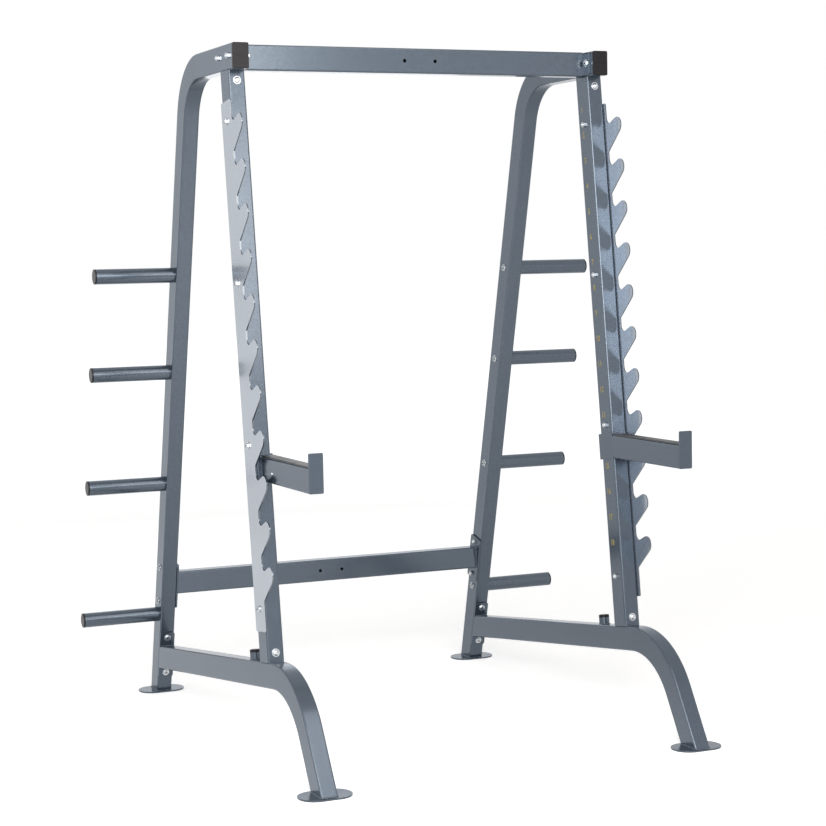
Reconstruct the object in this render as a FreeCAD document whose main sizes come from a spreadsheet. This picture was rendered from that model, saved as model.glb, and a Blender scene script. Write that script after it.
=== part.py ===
import FreeCAD, Part
import math
import os
import Sketcher

# Half rack for weight training, built from 50 x 75 mm steel tube.
# Millimetres. +Z is up, the floor is Z = 0, the mirror plane is X = 0 and the
# front of the rack, where the spotter arms point, looks towards -Y.
# Y = 0 is half way between the centres of the front and the rear foot plates.

V = FreeCAD.Vector

SIZES = {
    # rectangular tube
    "tube_width": 50.0,
    "tube_depth": 75.0,
    "tube_wall": 3.0,
    "tube_corner": 5.0,
    "inner_corner": 2.0,
    "side_centre": 587.0,
    # side frames
    "top_height": 2085.0,
    "beam_front": 243.5,
    "rear_foot": 786.5,
    "rear_lean": 14.85,
    "rear_bend": 182.5,
    "upright_foot": 414.5,
    "upright_lean": 7.13,
    "beam_along": 303.0,
    "front_foot": 783.5,
    "front_lean": 32.26,
    "front_bend": 252.0,
    "foot_plate": 5.0,
    "foot_long": 155.0,
    "foot_wide": 105.0,
    "front_plate_centre": 784.5,
    "rear_plate_centre": 784.5,
    "plate": 6.0,
    "cap_plate": 5.0,
    # flange at the rear end of the lower beam
    "low_flange_start": 67.0,
    "low_flange_end": 232.0,
    "low_bolt_first": 85.7,
    "low_bolt_second": 213.5,
    # crossbars and their flanges
    "top_bar_centre": 163.5,
    "top_flange_front": 223.5,
    "top_flange_rear": 101.5,
    "top_bolt_front": 207.5,
    "top_bolt_rear": 117.5,
    "top_bolt_height": 2050.0,
    "top_hole_offset": 50.0,
    "rear_bar_centre": 687.5,
    "rear_bar_height": 384.0,
    "rear_flange_start": 316.5,
    "rear_flange_end": 472.5,
    "rear_bolt_low": 333.5,
    "rear_bolt_high": 455.5,
    "rear_hole_offset": 40.0,
    "bar_hole": 5.5,
    # hook plates
    "hook_plate": 4.0,
    "hook_top": 1935.0,
    "hook_bottom": 393.0,
    "hook_neck": 50.0,
    "hook_first": 1869.0,
    "hook_pitch": 130.0,
    "hook_count": 11.0,
    "valley_radius": 20.0,
    "nose_radius": 25.0,
    "nose_front": 113.0,
    "nose_drop": 14.0,
    "tooth_drop": 87.0,
    "plate_bolt_1": 1876.5,
    "plate_bolt_2": 1404.0,
    "plate_bolt_3": 932.5,
    "plate_bolt_4": 459.0,
    # adjustment holes in the rear wall of the uprights
    "hole_first": 1924.0,
    "hole_pitch": 40.0,
    "hole_count": 35.0,
    "hole_radius": 7.0,
    # fasteners
    "bolt": 5.0,
    "clearance": 0.4,
    "head": 9.0,
    "head_height": 6.0,
    "nut_height": 8.0,
    "bolt_end": 3.0,
    "upright_bolt_high": 1991.0,
    "upright_bolt_low": 331.0,
    "washer": 12.0,
    "washer_height": 2.0,
    # weight pegs
    "peg_radius": 24.0,
    "peg_wall": 3.0,
    "peg_long": 254.0,
    "peg_base": 20.0,
    "cap_long": 5.0,
    "peg_1": 285.0,
    "peg_2": 755.0,
    "peg_3": 1141.0,
    "peg_4": 1466.0,
    # band stubs
    "stub_radius": 16.5,
    "stub_wall": 3.0,
    "stub_offset": 147.0,
    "stub_long": 22.0,
    "stub_plug": 9.0,
    # spotter arms
    "arm_width": 42.0,
    "arm_height": 70.0,
    "arm_bottom": 826.5,
    "arm_front": 748.5,
    "arm_inner": 557.0,
    "sleeve_bottom": 826.0,
    "sleeve_wide": 50.0,
    "sleeve_long": 80.0,
    "sleeve_plate": 4.5,
    "slide_gap": 0.5,
    "lip_plate": 6.0,
    "lip_wide": 42.0,
    "lip_top": 938.0,
    "pad_height": 5.0,
    "pad_inset": 2.0,
    # pull pins
    "pin_along": 884.0,
    "pin_radius": 6.0,
    "pin_fit": 0.05,
    "pin_reach": 11.0,
    "housing_radius": 11.0,
    "housing_long": 18.0,
    "knob_radius": 13.0,
    "knob_long": 16.0,
}

doc = FreeCAD.newDocument("HalfRack")
sheet = doc.addObject("Spreadsheet::Sheet", "Sizes")
for row, (size_name, size_value) in enumerate(SIZES.items(), start=1):
    sheet.set("A%d" % row, size_name)
    sheet.set("B%d" % row, str(size_value))
    sheet.setAlias("B%d" % row, size_name)
doc.recompute()


class Size:
    """A size with its number and the spreadsheet expression that gives it."""

    def __init__(self, value, text):
        self.value = value
        self.text = text

    def __add__(self, other):
        other = size(other)
        return Size(self.value + other.value, "(%s + %s)" % (self.text, other.text))

    def __sub__(self, other):
        other = size(other)
        return Size(self.value - other.value, "(%s - %s)" % (self.text, other.text))

    def __mul__(self, other):
        other = size(other)
        return Size(self.value * other.value, "(%s * %s)" % (self.text, other.text))

    def __truediv__(self, other):
        other = size(other)
        return Size(self.value / other.value, "(%s / %s)" % (self.text, other.text))

    def __neg__(self):
        return Size(-self.value, "(0 - %s)" % self.text)


def size(item):
    """Turn a spreadsheet name or a plain number into a Size."""
    if isinstance(item, Size):
        return item
    if isinstance(item, str):
        return Size(SIZES[item], "Sizes.%s" % item)
    return Size(float(item), "(%.6f)" % item if item >= 0 else "(0 - %.6f)" % -item)


def sine(angle):
    angle = size(angle)
    return Size(math.sin(math.radians(angle.value)), "sin(%s)" % angle.text)


def cosine(angle):
    angle = size(angle)
    return Size(math.cos(math.radians(angle.value)), "cos(%s)" % angle.text)


def tangent(angle):
    angle = size(angle)
    return Size(math.tan(math.radians(angle.value)), "tan(%s)" % angle.text)


NODES = []


def keep(item):
    """Count a finished object among the pieces of the rack."""
    NODES.append(item)
    return item


def bind(item, prop, amount):
    """Set a property and bind it to its spreadsheet expression."""
    item.setExpression(prop, size(amount).text)


def place(item, x, y, z, axis=V(1, 0, 0), turn=0.0):
    """Place an object at x, y, z, turned about an axis by an angle in degrees."""
    x, y, z, turn = size(x), size(y), size(z), size(turn)
    item.Placement = FreeCAD.Placement(V(x.value, y.value, z.value), FreeCAD.Rotation(axis, turn.value))
    bind(item, "Placement.Base.x", x)
    bind(item, "Placement.Base.y", y)
    bind(item, "Placement.Base.z", z)
    if turn.value:
        bind(item, "Placement.Rotation.Angle", turn)


def new_body(label):
    body = doc.addObject("PartDesign::Body", label)
    body.Label = label
    return body


def new_sketch(body, role, offset=(0.0, 0.0, 0.0), axis=V(0, 0, 1), turn=0.0):
    """Sketch on one of the body's own planes, shifted and turned in that plane's axes."""
    sketch = body.newObject("Sketcher::SketchObject", body.Label + "_sketch")
    plane = [item for item in body.Origin.OriginFeatures if item.Role == role][0]
    sketch.AttachmentSupport = [(plane, "")]
    sketch.MapMode = "FlatFace"
    shift = [size(item) for item in offset]
    turn = size(turn)
    base = V(shift[0].value, shift[1].value, shift[2].value)
    sketch.AttachmentOffset = FreeCAD.Placement(base, FreeCAD.Rotation(axis, turn.value))
    for letter, amount in zip("xyz", shift):
        if amount.value:
            bind(sketch, "AttachmentOffset.Base.%s" % letter, amount)
    if turn.value:
        bind(sketch, "AttachmentOffset.Rotation.Angle", turn)
    return sketch


def fix(sketch, kind, first, second, amount):
    """Fix one coordinate of a sketch point from the sketch origin."""
    number = sketch.addConstraint(Sketcher.Constraint(kind, -1, 1, first, second, amount.value))
    sketch.setExpression("Constraints[%d]" % number, amount.text)


def fix_point(sketch, geometry, point, x, y):
    fix(sketch, "DistanceX", geometry, point, x)
    fix(sketch, "DistanceY", geometry, point, y)


def fix_radius(sketch, geometry, radius):
    number = sketch.addConstraint(Sketcher.Constraint("Radius", geometry, radius.value))
    sketch.setExpression("Constraints[%d]" % number, radius.text)


def add_line(sketch, start, end):
    a = V(start[0].value, start[1].value, 0)
    b = V(end[0].value, end[1].value, 0)
    return sketch.addGeometry(Part.LineSegment(a, b), False)


def add_arc(sketch, centre, radius, from_angle, to_angle):
    """Arc drawn anticlockwise between two angles in degrees."""
    circle = Part.Circle(V(centre[0].value, centre[1].value, 0), V(0, 0, 1), radius.value)
    arc = Part.ArcOfCircle(circle, math.radians(from_angle), math.radians(to_angle))
    return sketch.addGeometry(arc, False)


def join(sketch, first, first_end, second, second_end):
    sketch.addConstraint(Sketcher.Constraint("Coincident", first, first_end, second, second_end))


def polygon(sketch, corners):
    """Closed outline with straight sides through fixed corners."""
    corners = [(size(x), size(y)) for x, y in corners]
    start = sketch.GeometryCount
    count = len(corners)
    for index in range(count):
        add_line(sketch, corners[index], corners[(index + 1) % count])
    for index in range(count):
        join(sketch, start + index, 2, start + (index + 1) % count, 1)
        fix_point(sketch, start + index, 1, corners[index][0], corners[index][1])


def rounded(sketch, left, right, bottom, top, radius):
    """Closed rectangle with four rounded corners."""
    left, right, bottom, top, radius = [size(item) for item in (left, right, bottom, top, radius)]
    points = [
        (left + radius, bottom), (right - radius, bottom),
        (right, bottom + radius), (right, top - radius),
        (right - radius, top), (left + radius, top),
        (left, top - radius), (left, bottom + radius),
    ]
    centres = [
        (right - radius, bottom + radius), (right - radius, top - radius),
        (left + radius, top - radius), (left + radius, bottom + radius),
    ]
    start = sketch.GeometryCount
    for side in range(4):
        add_line(sketch, points[2 * side], points[2 * side + 1])
    for side in range(4):
        add_arc(sketch, centres[side], radius, 90 * side - 90, 90 * side)
    for side in range(4):
        join(sketch, start + side, 2, start + 4 + side, 1)
        join(sketch, start + 4 + side, 2, start + (side + 1) % 4, 1)
        fix_point(sketch, start + side, 1, *points[2 * side])
        fix_point(sketch, start + side, 2, *points[2 * side + 1])
        fix_radius(sketch, start + 4 + side, radius)


def circle(sketch, x, y, radius):
    x, y, radius = size(x), size(y), size(radius)
    shape = Part.Circle(V(x.value, y.value, 0), V(0, 0, 1), radius.value)
    geometry = sketch.addGeometry(shape, False)
    fix_point(sketch, geometry, 3, x, y)
    fix_radius(sketch, geometry, radius)


def tube_section(sketch, width, depth, x=0.0, y=0.0):
    """Hollow rectangular tube section centred on x, y."""
    half_w = size(width) / 2
    half_d = size(depth) / 2
    wall = size("tube_wall")
    x, y = size(x), size(y)
    rounded(sketch, x - half_w, x + half_w, y - half_d, y + half_d, "tube_corner")
    rounded(sketch, x - half_w + wall, x + half_w - wall, y - half_d + wall, y + half_d - wall, "inner_corner")


def pad(body, sketch, length, both=False, back=False):
    feature = body.newObject("PartDesign::Pad", body.Label + "_pad")
    feature.Profile = sketch
    feature.Length = size(length).value
    feature.SideType = "Symmetric" if both else "One side"
    feature.Reversed = back
    bind(feature, "Length", length)
    body.Tip = feature
    return feature


def cut(body, sketch, length, both=True, back=False):
    feature = body.newObject("PartDesign::Pocket", body.Label + "_cut")
    feature.Profile = sketch
    feature.Type = "Length"
    feature.Length = size(length).value
    feature.SideType = "Symmetric" if both else "One side"
    feature.Reversed = back
    bind(feature, "Length", length)
    body.Tip = feature
    return feature


def sweep(body, section, path, edges):
    feature = body.newObject("PartDesign::AdditivePipe", body.Label + "_sweep")
    feature.Profile = section
    feature.Spine = (path, ["Edge%d" % (index + 1) for index in range(edges)])
    body.Tip = feature
    return feature


def spin(body, sketch):
    """Solid of revolution about the sketch's upright axis."""
    feature = body.newObject("PartDesign::Revolution", body.Label + "_spin")
    feature.Profile = sketch
    feature.ReferenceAxis = (sketch, ["V_Axis"])
    feature.Angle = 360.0
    body.Tip = feature
    return feature


# Points on the leaning members.
# Upright: "along" runs up its axis from the floor, "ahead" points to the front.
# Rear leg: "along" runs up its axis from the floor, "behind" points to the rear.
UP_SIN = sine("upright_lean")
UP_COS = cosine("upright_lean")
LEG_SIN = sine("rear_lean")
LEG_COS = cosine("rear_lean")


def upright_point(along, ahead):
    along, ahead = size(along), size(ahead)
    y = along * UP_SIN - ahead * UP_COS - "upright_foot"
    z = along * UP_COS + ahead * UP_SIN
    return y, z


def leg_point(along, behind):
    along, behind = size(along), size(behind)
    y = size("rear_foot") - along * LEG_SIN + behind * LEG_COS
    z = along * LEG_COS + behind * LEG_SIN
    return y, z


HALF_WIDTH = size("tube_width") / 2
HALF_DEPTH = size("tube_depth") / 2
OUTER = size("side_centre") + HALF_WIDTH
INNER = size("side_centre") - HALF_WIDTH
BOLT_HOLE = size("bolt") + "clearance"
BEAM_UNDER = size("top_height") - "tube_depth"
BEAM_MIDDLE = size("top_height") - HALF_DEPTH
PEGS = ["peg_1", "peg_2", "peg_3", "peg_4"]
PLATE_BOLTS = ["plate_bolt_1", "plate_bolt_2", "plate_bolt_3", "plate_bolt_4"]
SIDES = [("left", -1.0), ("right", 1.0)]


def rear_frame_tube(name, side):
    """Side top beam and rear leg, one tube bent over a large radius."""
    body = keep(new_body(name))
    front = size("beam_front") - "cap_plate"
    place(body, size("side_centre") * side, -front, BEAM_MIDDLE)
    turn = (size(90.0) - "rear_lean") / 2
    reach = size("rear_bend") * tangent(turn)
    corner = size("rear_foot") - tangent("rear_lean") * BEAM_MIDDLE + front
    section = new_sketch(body, "XZ_Plane")
    tube_section(section, "tube_width", "tube_depth")
    path = new_sketch(body, "YZ_Plane")
    start = (size(0.0), size(0.0))
    bend_start = (corner - reach, size(0.0))
    bend_end = (corner + reach * LEG_SIN, -reach * LEG_COS)
    drop = BEAM_MIDDLE + 20.0
    foot = (corner + drop * tangent("rear_lean"), -drop)
    add_line(path, start, bend_start)
    add_arc(path, (bend_start[0], -size("rear_bend")), size("rear_bend"), SIZES["rear_lean"], 90.0)
    add_line(path, bend_end, foot)
    fix_point(path, 0, 1, *start)
    fix_point(path, 0, 2, *bend_start)
    join(path, 1, 2, 0, 2)
    join(path, 1, 1, 2, 1)
    fix_point(path, 2, 1, *bend_end)
    fix_point(path, 2, 2, *foot)
    fix_radius(path, 1, size("rear_bend"))
    sweep(body, section, path, 3)
    # foot cut off level on its plate
    level = new_sketch(body, "YZ_Plane")
    floor = size("foot_plate") - BEAM_MIDDLE
    middle = size("rear_foot") + front
    polygon(level, [(middle - 120.0, floor), (middle - 120.0, floor - 80.0),
                    (middle + 120.0, floor - 80.0), (middle + 120.0, floor)])
    cut(body, level, size("tube_width") * 2)
    # bolt holes across the leg and the beam
    across = new_sketch(body, "YZ_Plane")
    for along in PEGS + ["rear_bolt_low", "rear_bolt_high"]:
        y, z = leg_point(along, 0.0)
        circle(across, y + front, z - BEAM_MIDDLE, BOLT_HOLE)
    for along in ("top_bolt_front", "top_bolt_rear"):
        circle(across, front - along, size("top_bolt_height") - BEAM_MIDDLE, BOLT_HOLE)
    cut(body, across, size("tube_width") * 2)
    # bolt holes of the lower flange, front to rear through the leg
    low = new_sketch(body, "XZ_Plane", (0.0, -BEAM_MIDDLE, -(size("rear_foot") + front)), V(1, 0, 0), "rear_lean")
    for along in ("low_bolt_first", "low_bolt_second"):
        circle(low, 0.0, along, BOLT_HOLE)
    cut(body, low, size("tube_depth") + 20.0)
    return body


def lower_frame_tube(name, side):
    """Lower beam and front leg, one bent tube, drawn square to the upright."""
    body = keep(new_body(name))
    place(body, size("side_centre") * side, -size("upright_foot"), 0.0, V(1, 0, 0), -size("upright_lean"))
    middle = size("beam_along") - HALF_DEPTH
    lean = size("front_lean") - "upright_lean"
    lean_sin, lean_cos = sine(lean), cosine(lean)
    turn = (size(90.0) - lean) / 2
    reach = size("front_bend") * tangent(turn)
    stride = size("front_foot") - "upright_foot"
    foot_y = -stride * UP_COS
    foot_z = -stride * UP_SIN
    climb = (middle - foot_z) / lean_cos
    corner = foot_y + climb * lean_sin
    rear = size("rear_foot") + "upright_foot" + 20.0
    section = new_sketch(body, "XZ_Plane", (0.0, middle, -rear))
    tube_section(section, "tube_width", "tube_depth")
    path = new_sketch(body, "YZ_Plane")
    start = (rear, middle)
    bend_start = (corner + reach, middle)
    bend_end = (corner - reach * lean_sin, middle - reach * lean_cos)
    end = (foot_y - lean_sin * 40.0, foot_z - lean_cos * 40.0)
    add_line(path, start, bend_start)
    centre = (bend_start[0], middle - "front_bend")
    add_arc(path, centre, size("front_bend"), 90.0, 180.0 - lean.value)
    add_line(path, bend_end, end)
    fix_point(path, 0, 1, *start)
    fix_point(path, 0, 2, *bend_start)
    join(path, 1, 1, 0, 2)
    join(path, 1, 2, 2, 1)
    fix_point(path, 2, 1, *bend_end)
    fix_point(path, 2, 2, *end)
    fix_radius(path, 1, size("front_bend"))
    sweep(body, section, path, 3)
    # foot cut off level on its plate
    level = new_sketch(body, "YZ_Plane", (0.0, 0.0, 0.0), V(0, 0, 1), "upright_lean")
    heel = size("upright_foot") - "front_foot"
    polygon(level, [(heel - 150.0, "foot_plate"), (heel - 150.0, size("foot_plate") - 120.0),
                    (heel + 150.0, size("foot_plate") - 120.0), (heel + 150.0, "foot_plate")])
    cut(body, level, size("tube_width") * 2)
    # rear end cut off along the flange on the rear leg
    step = size("rear_foot") + "upright_foot"
    slant = size("upright_lean") + "rear_lean"
    end_cut = new_sketch(body, "YZ_Plane", (step * UP_COS, step * UP_SIN, 0.0), V(0, 0, 1), slant)
    face = -HALF_DEPTH - "plate"
    polygon(end_cut, [(face, -200.0), (size(250.0), -200.0), (size(250.0), 500.0), (face, 500.0)])
    cut(body, end_cut, size("tube_width") * 2)
    return body


def cut_at_beam(body, near, far):
    """Cut a piece of the upright off level at the underside of the side beam."""
    level = new_sketch(body, "YZ_Plane", (0.0, 0.0, 0.0), V(0, 0, 1), "upright_lean")
    polygon(level, [(near, BEAM_UNDER), (far, BEAM_UNDER), (far, BEAM_UNDER + 100.0), (near, BEAM_UNDER + 100.0)])
    cut(body, level, size("tube_width") * 2)


def front_upright(name, side):
    body = keep(new_body(name))
    place(body, size("side_centre") * side, -size("upright_foot"), 0.0, V(1, 0, 0), -size("upright_lean"))
    section = new_sketch(body, "XY_Plane", (0.0, 0.0, "beam_along"))
    tube_section(section, "tube_width", "tube_depth")
    pad(body, section, size("top_height") - "beam_along" - 30.0)
    cut_at_beam(body, 100.0, 400.0)
    # holes for the hook plate bolts, through both side walls
    across = new_sketch(body, "YZ_Plane")
    for along in PLATE_BOLTS:
        circle(across, 0.0, along, BOLT_HOLE)
    cut(body, across, size("tube_width") * 2)
    # holes for the two bolts through the front wall
    front = new_sketch(body, "XZ_Plane")
    for along in ("upright_bolt_high", "upright_bolt_low"):
        circle(front, 0.0, along, BOLT_HOLE)
    cut(body, front, "tube_depth", both=False, back=True)
    # adjustment holes in the rear wall, one every second one numbered
    rear = new_sketch(body, "XZ_Plane")
    circle(rear, 0.0, "hole_first", "hole_radius")
    first = cut(body, rear, "tube_depth", both=False)
    row = body.newObject("PartDesign::LinearPattern", name + "_holes")
    row.Originals = [first]
    row.Direction = ([item for item in body.Origin.OriginFeatures if item.Role == "Z_Axis"][0], [""])
    row.Reversed = True
    row.Mode = "Spacing"
    row.Offset = SIZES["hole_pitch"]
    row.Occurrences = int(SIZES["hole_count"])
    bind(row, "Offset", "hole_pitch")
    bind(row, "Occurrences", "hole_count")
    body.Tip = row
    return body


def hook_plate(name, side):
    """Toothed plate on the outer side of the upright that takes the bar."""
    body = keep(new_body(name))
    middle = OUTER + size("hook_plate") / 2
    place(body, middle * side, -size("upright_foot"), 0.0, V(1, 0, 0), -size("upright_lean"))
    strip = new_sketch(body, "YZ_Plane")
    rounded(strip, -size("hook_neck"), HALF_DEPTH, "hook_bottom", "hook_top", 6.0)
    pad(body, strip, "hook_plate", both=True)
    # one tooth: hollow seat behind, round nose in front, sloping underside
    tooth = new_sketch(body, "YZ_Plane")
    root = size("hook_neck") - 6.0
    neck = size("hook_neck")
    seat = (-(neck + "valley_radius"), size("hook_first") + "valley_radius")
    nose = (-size("nose_front"), size("hook_first") - "nose_drop")
    top = size("hook_first") + "valley_radius"
    low = size("hook_first") - "tooth_drop"
    # the straight ramp touches the seat below and the nose above
    run = nose[0].value - seat[0].value
    rise = nose[1].value - seat[1].value
    span = math.hypot(run, rise)
    ramp = math.atan2(rise, run) + math.acos((SIZES["valley_radius"] + SIZES["nose_radius"]) / span)
    ramp_start = (seat[0] + math.cos(ramp) * SIZES["valley_radius"], seat[1] + math.sin(ramp) * SIZES["valley_radius"])
    ramp_end = (nose[0] - math.cos(ramp) * SIZES["nose_radius"], nose[1] - math.sin(ramp) * SIZES["nose_radius"])
    # the underside runs from the neck and touches the nose from below
    run = nose[0].value + neck.value
    rise = nose[1].value - low.value
    span = math.hypot(run, rise)
    slope = math.atan2(rise, run) + math.asin(SIZES["nose_radius"] / span)
    reach = math.sqrt(span ** 2 - SIZES["nose_radius"] ** 2)
    under = (-neck + reach * math.cos(slope), low + reach * math.sin(slope))
    add_line(tooth, (-root, top), (-neck, top))
    add_arc(tooth, seat, size("valley_radius"), math.degrees(ramp), 360.0)
    add_line(tooth, ramp_start, ramp_end)
    nose_from = math.degrees(math.atan2(ramp_end[1].value - nose[1].value, ramp_end[0].value - nose[0].value))
    nose_to = math.degrees(math.atan2(under[1].value - nose[1].value, under[0].value - nose[0].value))
    add_arc(tooth, nose, size("nose_radius"), nose_from, nose_to + 360.0)
    add_line(tooth, under, (-neck, low))
    add_line(tooth, (-neck, low), (-root, low))
    add_line(tooth, (-root, low), (-root, top))
    join(tooth, 0, 2, 1, 2)
    join(tooth, 4, 2, 5, 1)
    join(tooth, 5, 2, 6, 1)
    join(tooth, 6, 2, 0, 1)
    fix_point(tooth, 0, 1, -root, top)
    fix_point(tooth, 0, 2, -neck, top)
    fix_point(tooth, 1, 3, *seat)
    fix_point(tooth, 3, 3, *nose)
    fix_radius(tooth, 3, size("nose_radius"))
    tooth.addConstraint(Sketcher.Constraint("Tangent", 1, 1, 2, 1))
    tooth.addConstraint(Sketcher.Constraint("Tangent", 2, 2, 3, 1))
    tooth.addConstraint(Sketcher.Constraint("Tangent", 3, 2, 4, 1))
    fix_point(tooth, 5, 1, -neck, low)
    fix_point(tooth, 5, 2, -root, low)
    first = pad(body, tooth, "hook_plate", both=True)
    row = body.newObject("PartDesign::LinearPattern", name + "_teeth")
    row.Originals = [first]
    row.Direction = ([item for item in body.Origin.OriginFeatures if item.Role == "Z_Axis"][0], [""])
    row.Reversed = True
    row.Mode = "Spacing"
    row.Offset = SIZES["hook_pitch"]
    row.Occurrences = int(SIZES["hook_count"])
    bind(row, "Offset", "hook_pitch")
    bind(row, "Occurrences", "hook_count")
    body.Tip = row
    holes = new_sketch(body, "YZ_Plane")
    for along in PLATE_BOLTS:
        circle(holes, 0.0, along, BOLT_HOLE)
    cut(body, holes, size("hook_plate") * 4)
    return body


def upright_spigot(name, side, upper):
    """Short tube hidden inside the end of the upright, welded to the beam."""
    body = keep(new_body(name))
    place(body, size("side_centre") * side, -size("upright_foot"), 0.0, V(1, 0, 0), -size("upright_lean"))
    start = size("beam_along") if not upper else size("upright_bolt_high") - 35.0
    section = new_sketch(body, "XY_Plane", (0.0, 0.0, start))
    tube_section(section, size("tube_width") - size("tube_wall") * 2 - 1.0, size("tube_depth") - size("tube_wall") * 2 - 1.0)
    pad(body, section, 100.0 if upper else 60.0)
    if upper:
        cut_at_beam(body, 100.0, 400.0)
    bolt = size("upright_bolt_high") if upper else size("upright_bolt_low")
    front = new_sketch(body, "XZ_Plane")
    circle(front, 0.0, bolt, BOLT_HOLE)
    cut(body, front, "tube_depth", both=False, back=True)
    return body


def lower_flange(name, side):
    """Bolted plate between the lower beam and the rear leg."""
    body = keep(new_body(name))
    place(body, size("side_centre") * side, "rear_foot", 0.0, V(1, 0, 0), "rear_lean")
    face = new_sketch(body, "XZ_Plane", (0.0, 0.0, HALF_DEPTH))
    rounded(face, -HALF_WIDTH, HALF_WIDTH, "low_flange_start", "low_flange_end", 8.0)
    for along in ("low_bolt_first", "low_bolt_second"):
        circle(face, 0.0, along, BOLT_HOLE)
    pad(body, face, "plate")
    return body


def foot_plate(name, x, y):
    """Oval plate under the end of a leg."""
    body = keep(new_body(name))
    place(body, x, y, 0.0)
    outline = new_sketch(body, "XY_Plane")
    half_long = size("foot_long") / 2
    half_wide = size("foot_wide") / 2
    rounded(outline, -half_long, half_long, -half_wide, half_wide, half_wide - 2.0)
    pad(body, outline, "foot_plate")
    return body


def top_crossbar(name):
    body = keep(new_body(name))
    place(body, 0.0, -size("top_bar_centre"), BEAM_MIDDLE)
    section = new_sketch(body, "YZ_Plane")
    tube_section(section, "tube_width", "tube_depth")
    pad(body, section, (INNER - "plate") * 2, both=True)
    holes = new_sketch(body, "XZ_Plane")
    for sign in (-1.0, 1.0):
        circle(holes, size("top_hole_offset") * sign, 0.0, "bar_hole")
    cut(body, holes, size("tube_width") * 2)
    return body


def rear_crossbar(name):
    body = keep(new_body(name))
    place(body, 0.0, "rear_bar_centre", "rear_bar_height")
    section = new_sketch(body, "YZ_Plane")
    tube_section(section, "tube_width", "tube_depth")
    pad(body, section, (INNER - "plate") * 2, both=True)
    holes = new_sketch(body, "XZ_Plane")
    for sign in (-1.0, 1.0):
        circle(holes, size("rear_hole_offset") * sign, 0.0, "bar_hole")
    cut(body, holes, size("tube_width") * 2)
    return body


def top_flange(name, side):
    body = keep(new_body(name))
    place(body, (INNER - size("plate") / 2) * side, 0.0, BEAM_MIDDLE)
    face = new_sketch(body, "YZ_Plane")
    edge = HALF_DEPTH - 2.0
    rounded(face, -size("top_flange_front"), -size("top_flange_rear"), -edge, edge, 6.0)
    for along in ("top_bolt_front", "top_bolt_rear"):
        circle(face, -size(along), size("top_bolt_height") - BEAM_MIDDLE, BOLT_HOLE)
    pad(body, face, "plate", both=True)
    return body


def rear_flange(name, side):
    body = keep(new_body(name))
    place(body, (INNER - size("plate") / 2) * side, "rear_foot", 0.0, V(1, 0, 0), "rear_lean")
    face = new_sketch(body, "YZ_Plane")
    rounded(face, -HALF_DEPTH, HALF_DEPTH, "rear_flange_start", "rear_flange_end", 8.0)
    for along in ("rear_bolt_low", "rear_bolt_high"):
        circle(face, 0.0, along, BOLT_HOLE)
    pad(body, face, "plate", both=True)
    return body


def beam_cap(name, side):
    """Cap in the open front end of the side beam."""
    body = keep(new_body(name))
    place(body, size("side_centre") * side, -size("beam_front"), BEAM_MIDDLE)
    face = new_sketch(body, "XZ_Plane")
    rounded(face, -HALF_WIDTH, HALF_WIDTH, -HALF_DEPTH, HALF_DEPTH, "tube_corner")
    pad(body, face, "cap_plate", back=True)
    inner_w = HALF_WIDTH - "tube_wall" - 0.5
    inner_d = HALF_DEPTH - "tube_wall" - 0.5
    plug = new_sketch(body, "XZ_Plane")
    rounded(plug, -inner_w, inner_w, -inner_d, inner_d, "inner_corner")
    pad(body, plug, 22.0, back=True)
    return body


def weight_peg(name, side, along):
    """Round peg for weight plates, bolted to the outer side of the rear leg."""
    body = keep(new_body(name))
    y, z = leg_point(along, 0.0)
    place(body, OUTER * side, y, z, V(0, 1, 0), 90.0 * side)
    half = new_sketch(body, "XZ_Plane")
    bore = size("peg_radius") - "peg_wall"
    polygon(half, [(BOLT_HOLE, 0.0), ("peg_radius", 0.0), ("peg_radius", "peg_long"),
                   (bore, "peg_long"), (bore, "peg_base"), (BOLT_HOLE, "peg_base")])
    spin(body, half)
    return body


def cylinder(name, radius, height, x, y, z, axis=V(1, 0, 0), turn=0.0):
    item = doc.addObject("Part::Cylinder", name)
    item.Radius = size(radius).value
    item.Height = size(height).value
    bind(item, "Radius", radius)
    bind(item, "Height", height)
    place(item, x, y, z, axis, turn)
    return item


def hexagon(name, radius, height, x, y, z, axis=V(1, 0, 0), turn=0.0):
    item = doc.addObject("Part::Prism", name)
    item.Polygon = 6
    item.Circumradius = size(radius).value
    item.Height = size(height).value
    bind(item, "Circumradius", radius)
    bind(item, "Height", height)
    place(item, x, y, z, axis, turn)
    return item


def fuse(name, items):
    item = doc.addObject("Part::MultiFuse", name)
    item.Shapes = items
    return item


def subtract(name, base, tool):
    item = doc.addObject("Part::Cut", name)
    item.Base = base
    item.Tool = tool
    return item


def group(name, items):
    """Several separate solids of one kind kept together as one piece name."""
    item = doc.addObject("Part::Compound", name)
    item.Label = name
    item.Links = items
    return keep(item)


def bolt_along_x(name, side, head_x, y, z, length, inward=True):
    """Bolt with its head's seat at head_x, its shank running in or out."""
    ahead = -90.0 if inward else 90.0
    back = 90.0 if inward else -90.0
    head = cylinder(name + "_head", "head", "head_height", size(head_x) * side, y, z, V(0, 1, 0), back * side)
    shank = cylinder(name + "_shank", "bolt", length, size(head_x) * side, y, z, V(0, 1, 0), ahead * side)
    return fuse(name, [head, shank])


def nut_along_x(name, side, seat_x, y, z, inward=True):
    turn = -90.0 if inward else 90.0
    block = hexagon(name + "_block", "head", "nut_height", size(seat_x) * side, y, z, V(0, 1, 0), turn * side)
    bore = cylinder(name + "_bore", BOLT_HOLE, "nut_height", size(seat_x) * side, y, z, V(0, 1, 0), turn * side)
    return subtract(name, block, bore)


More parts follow.
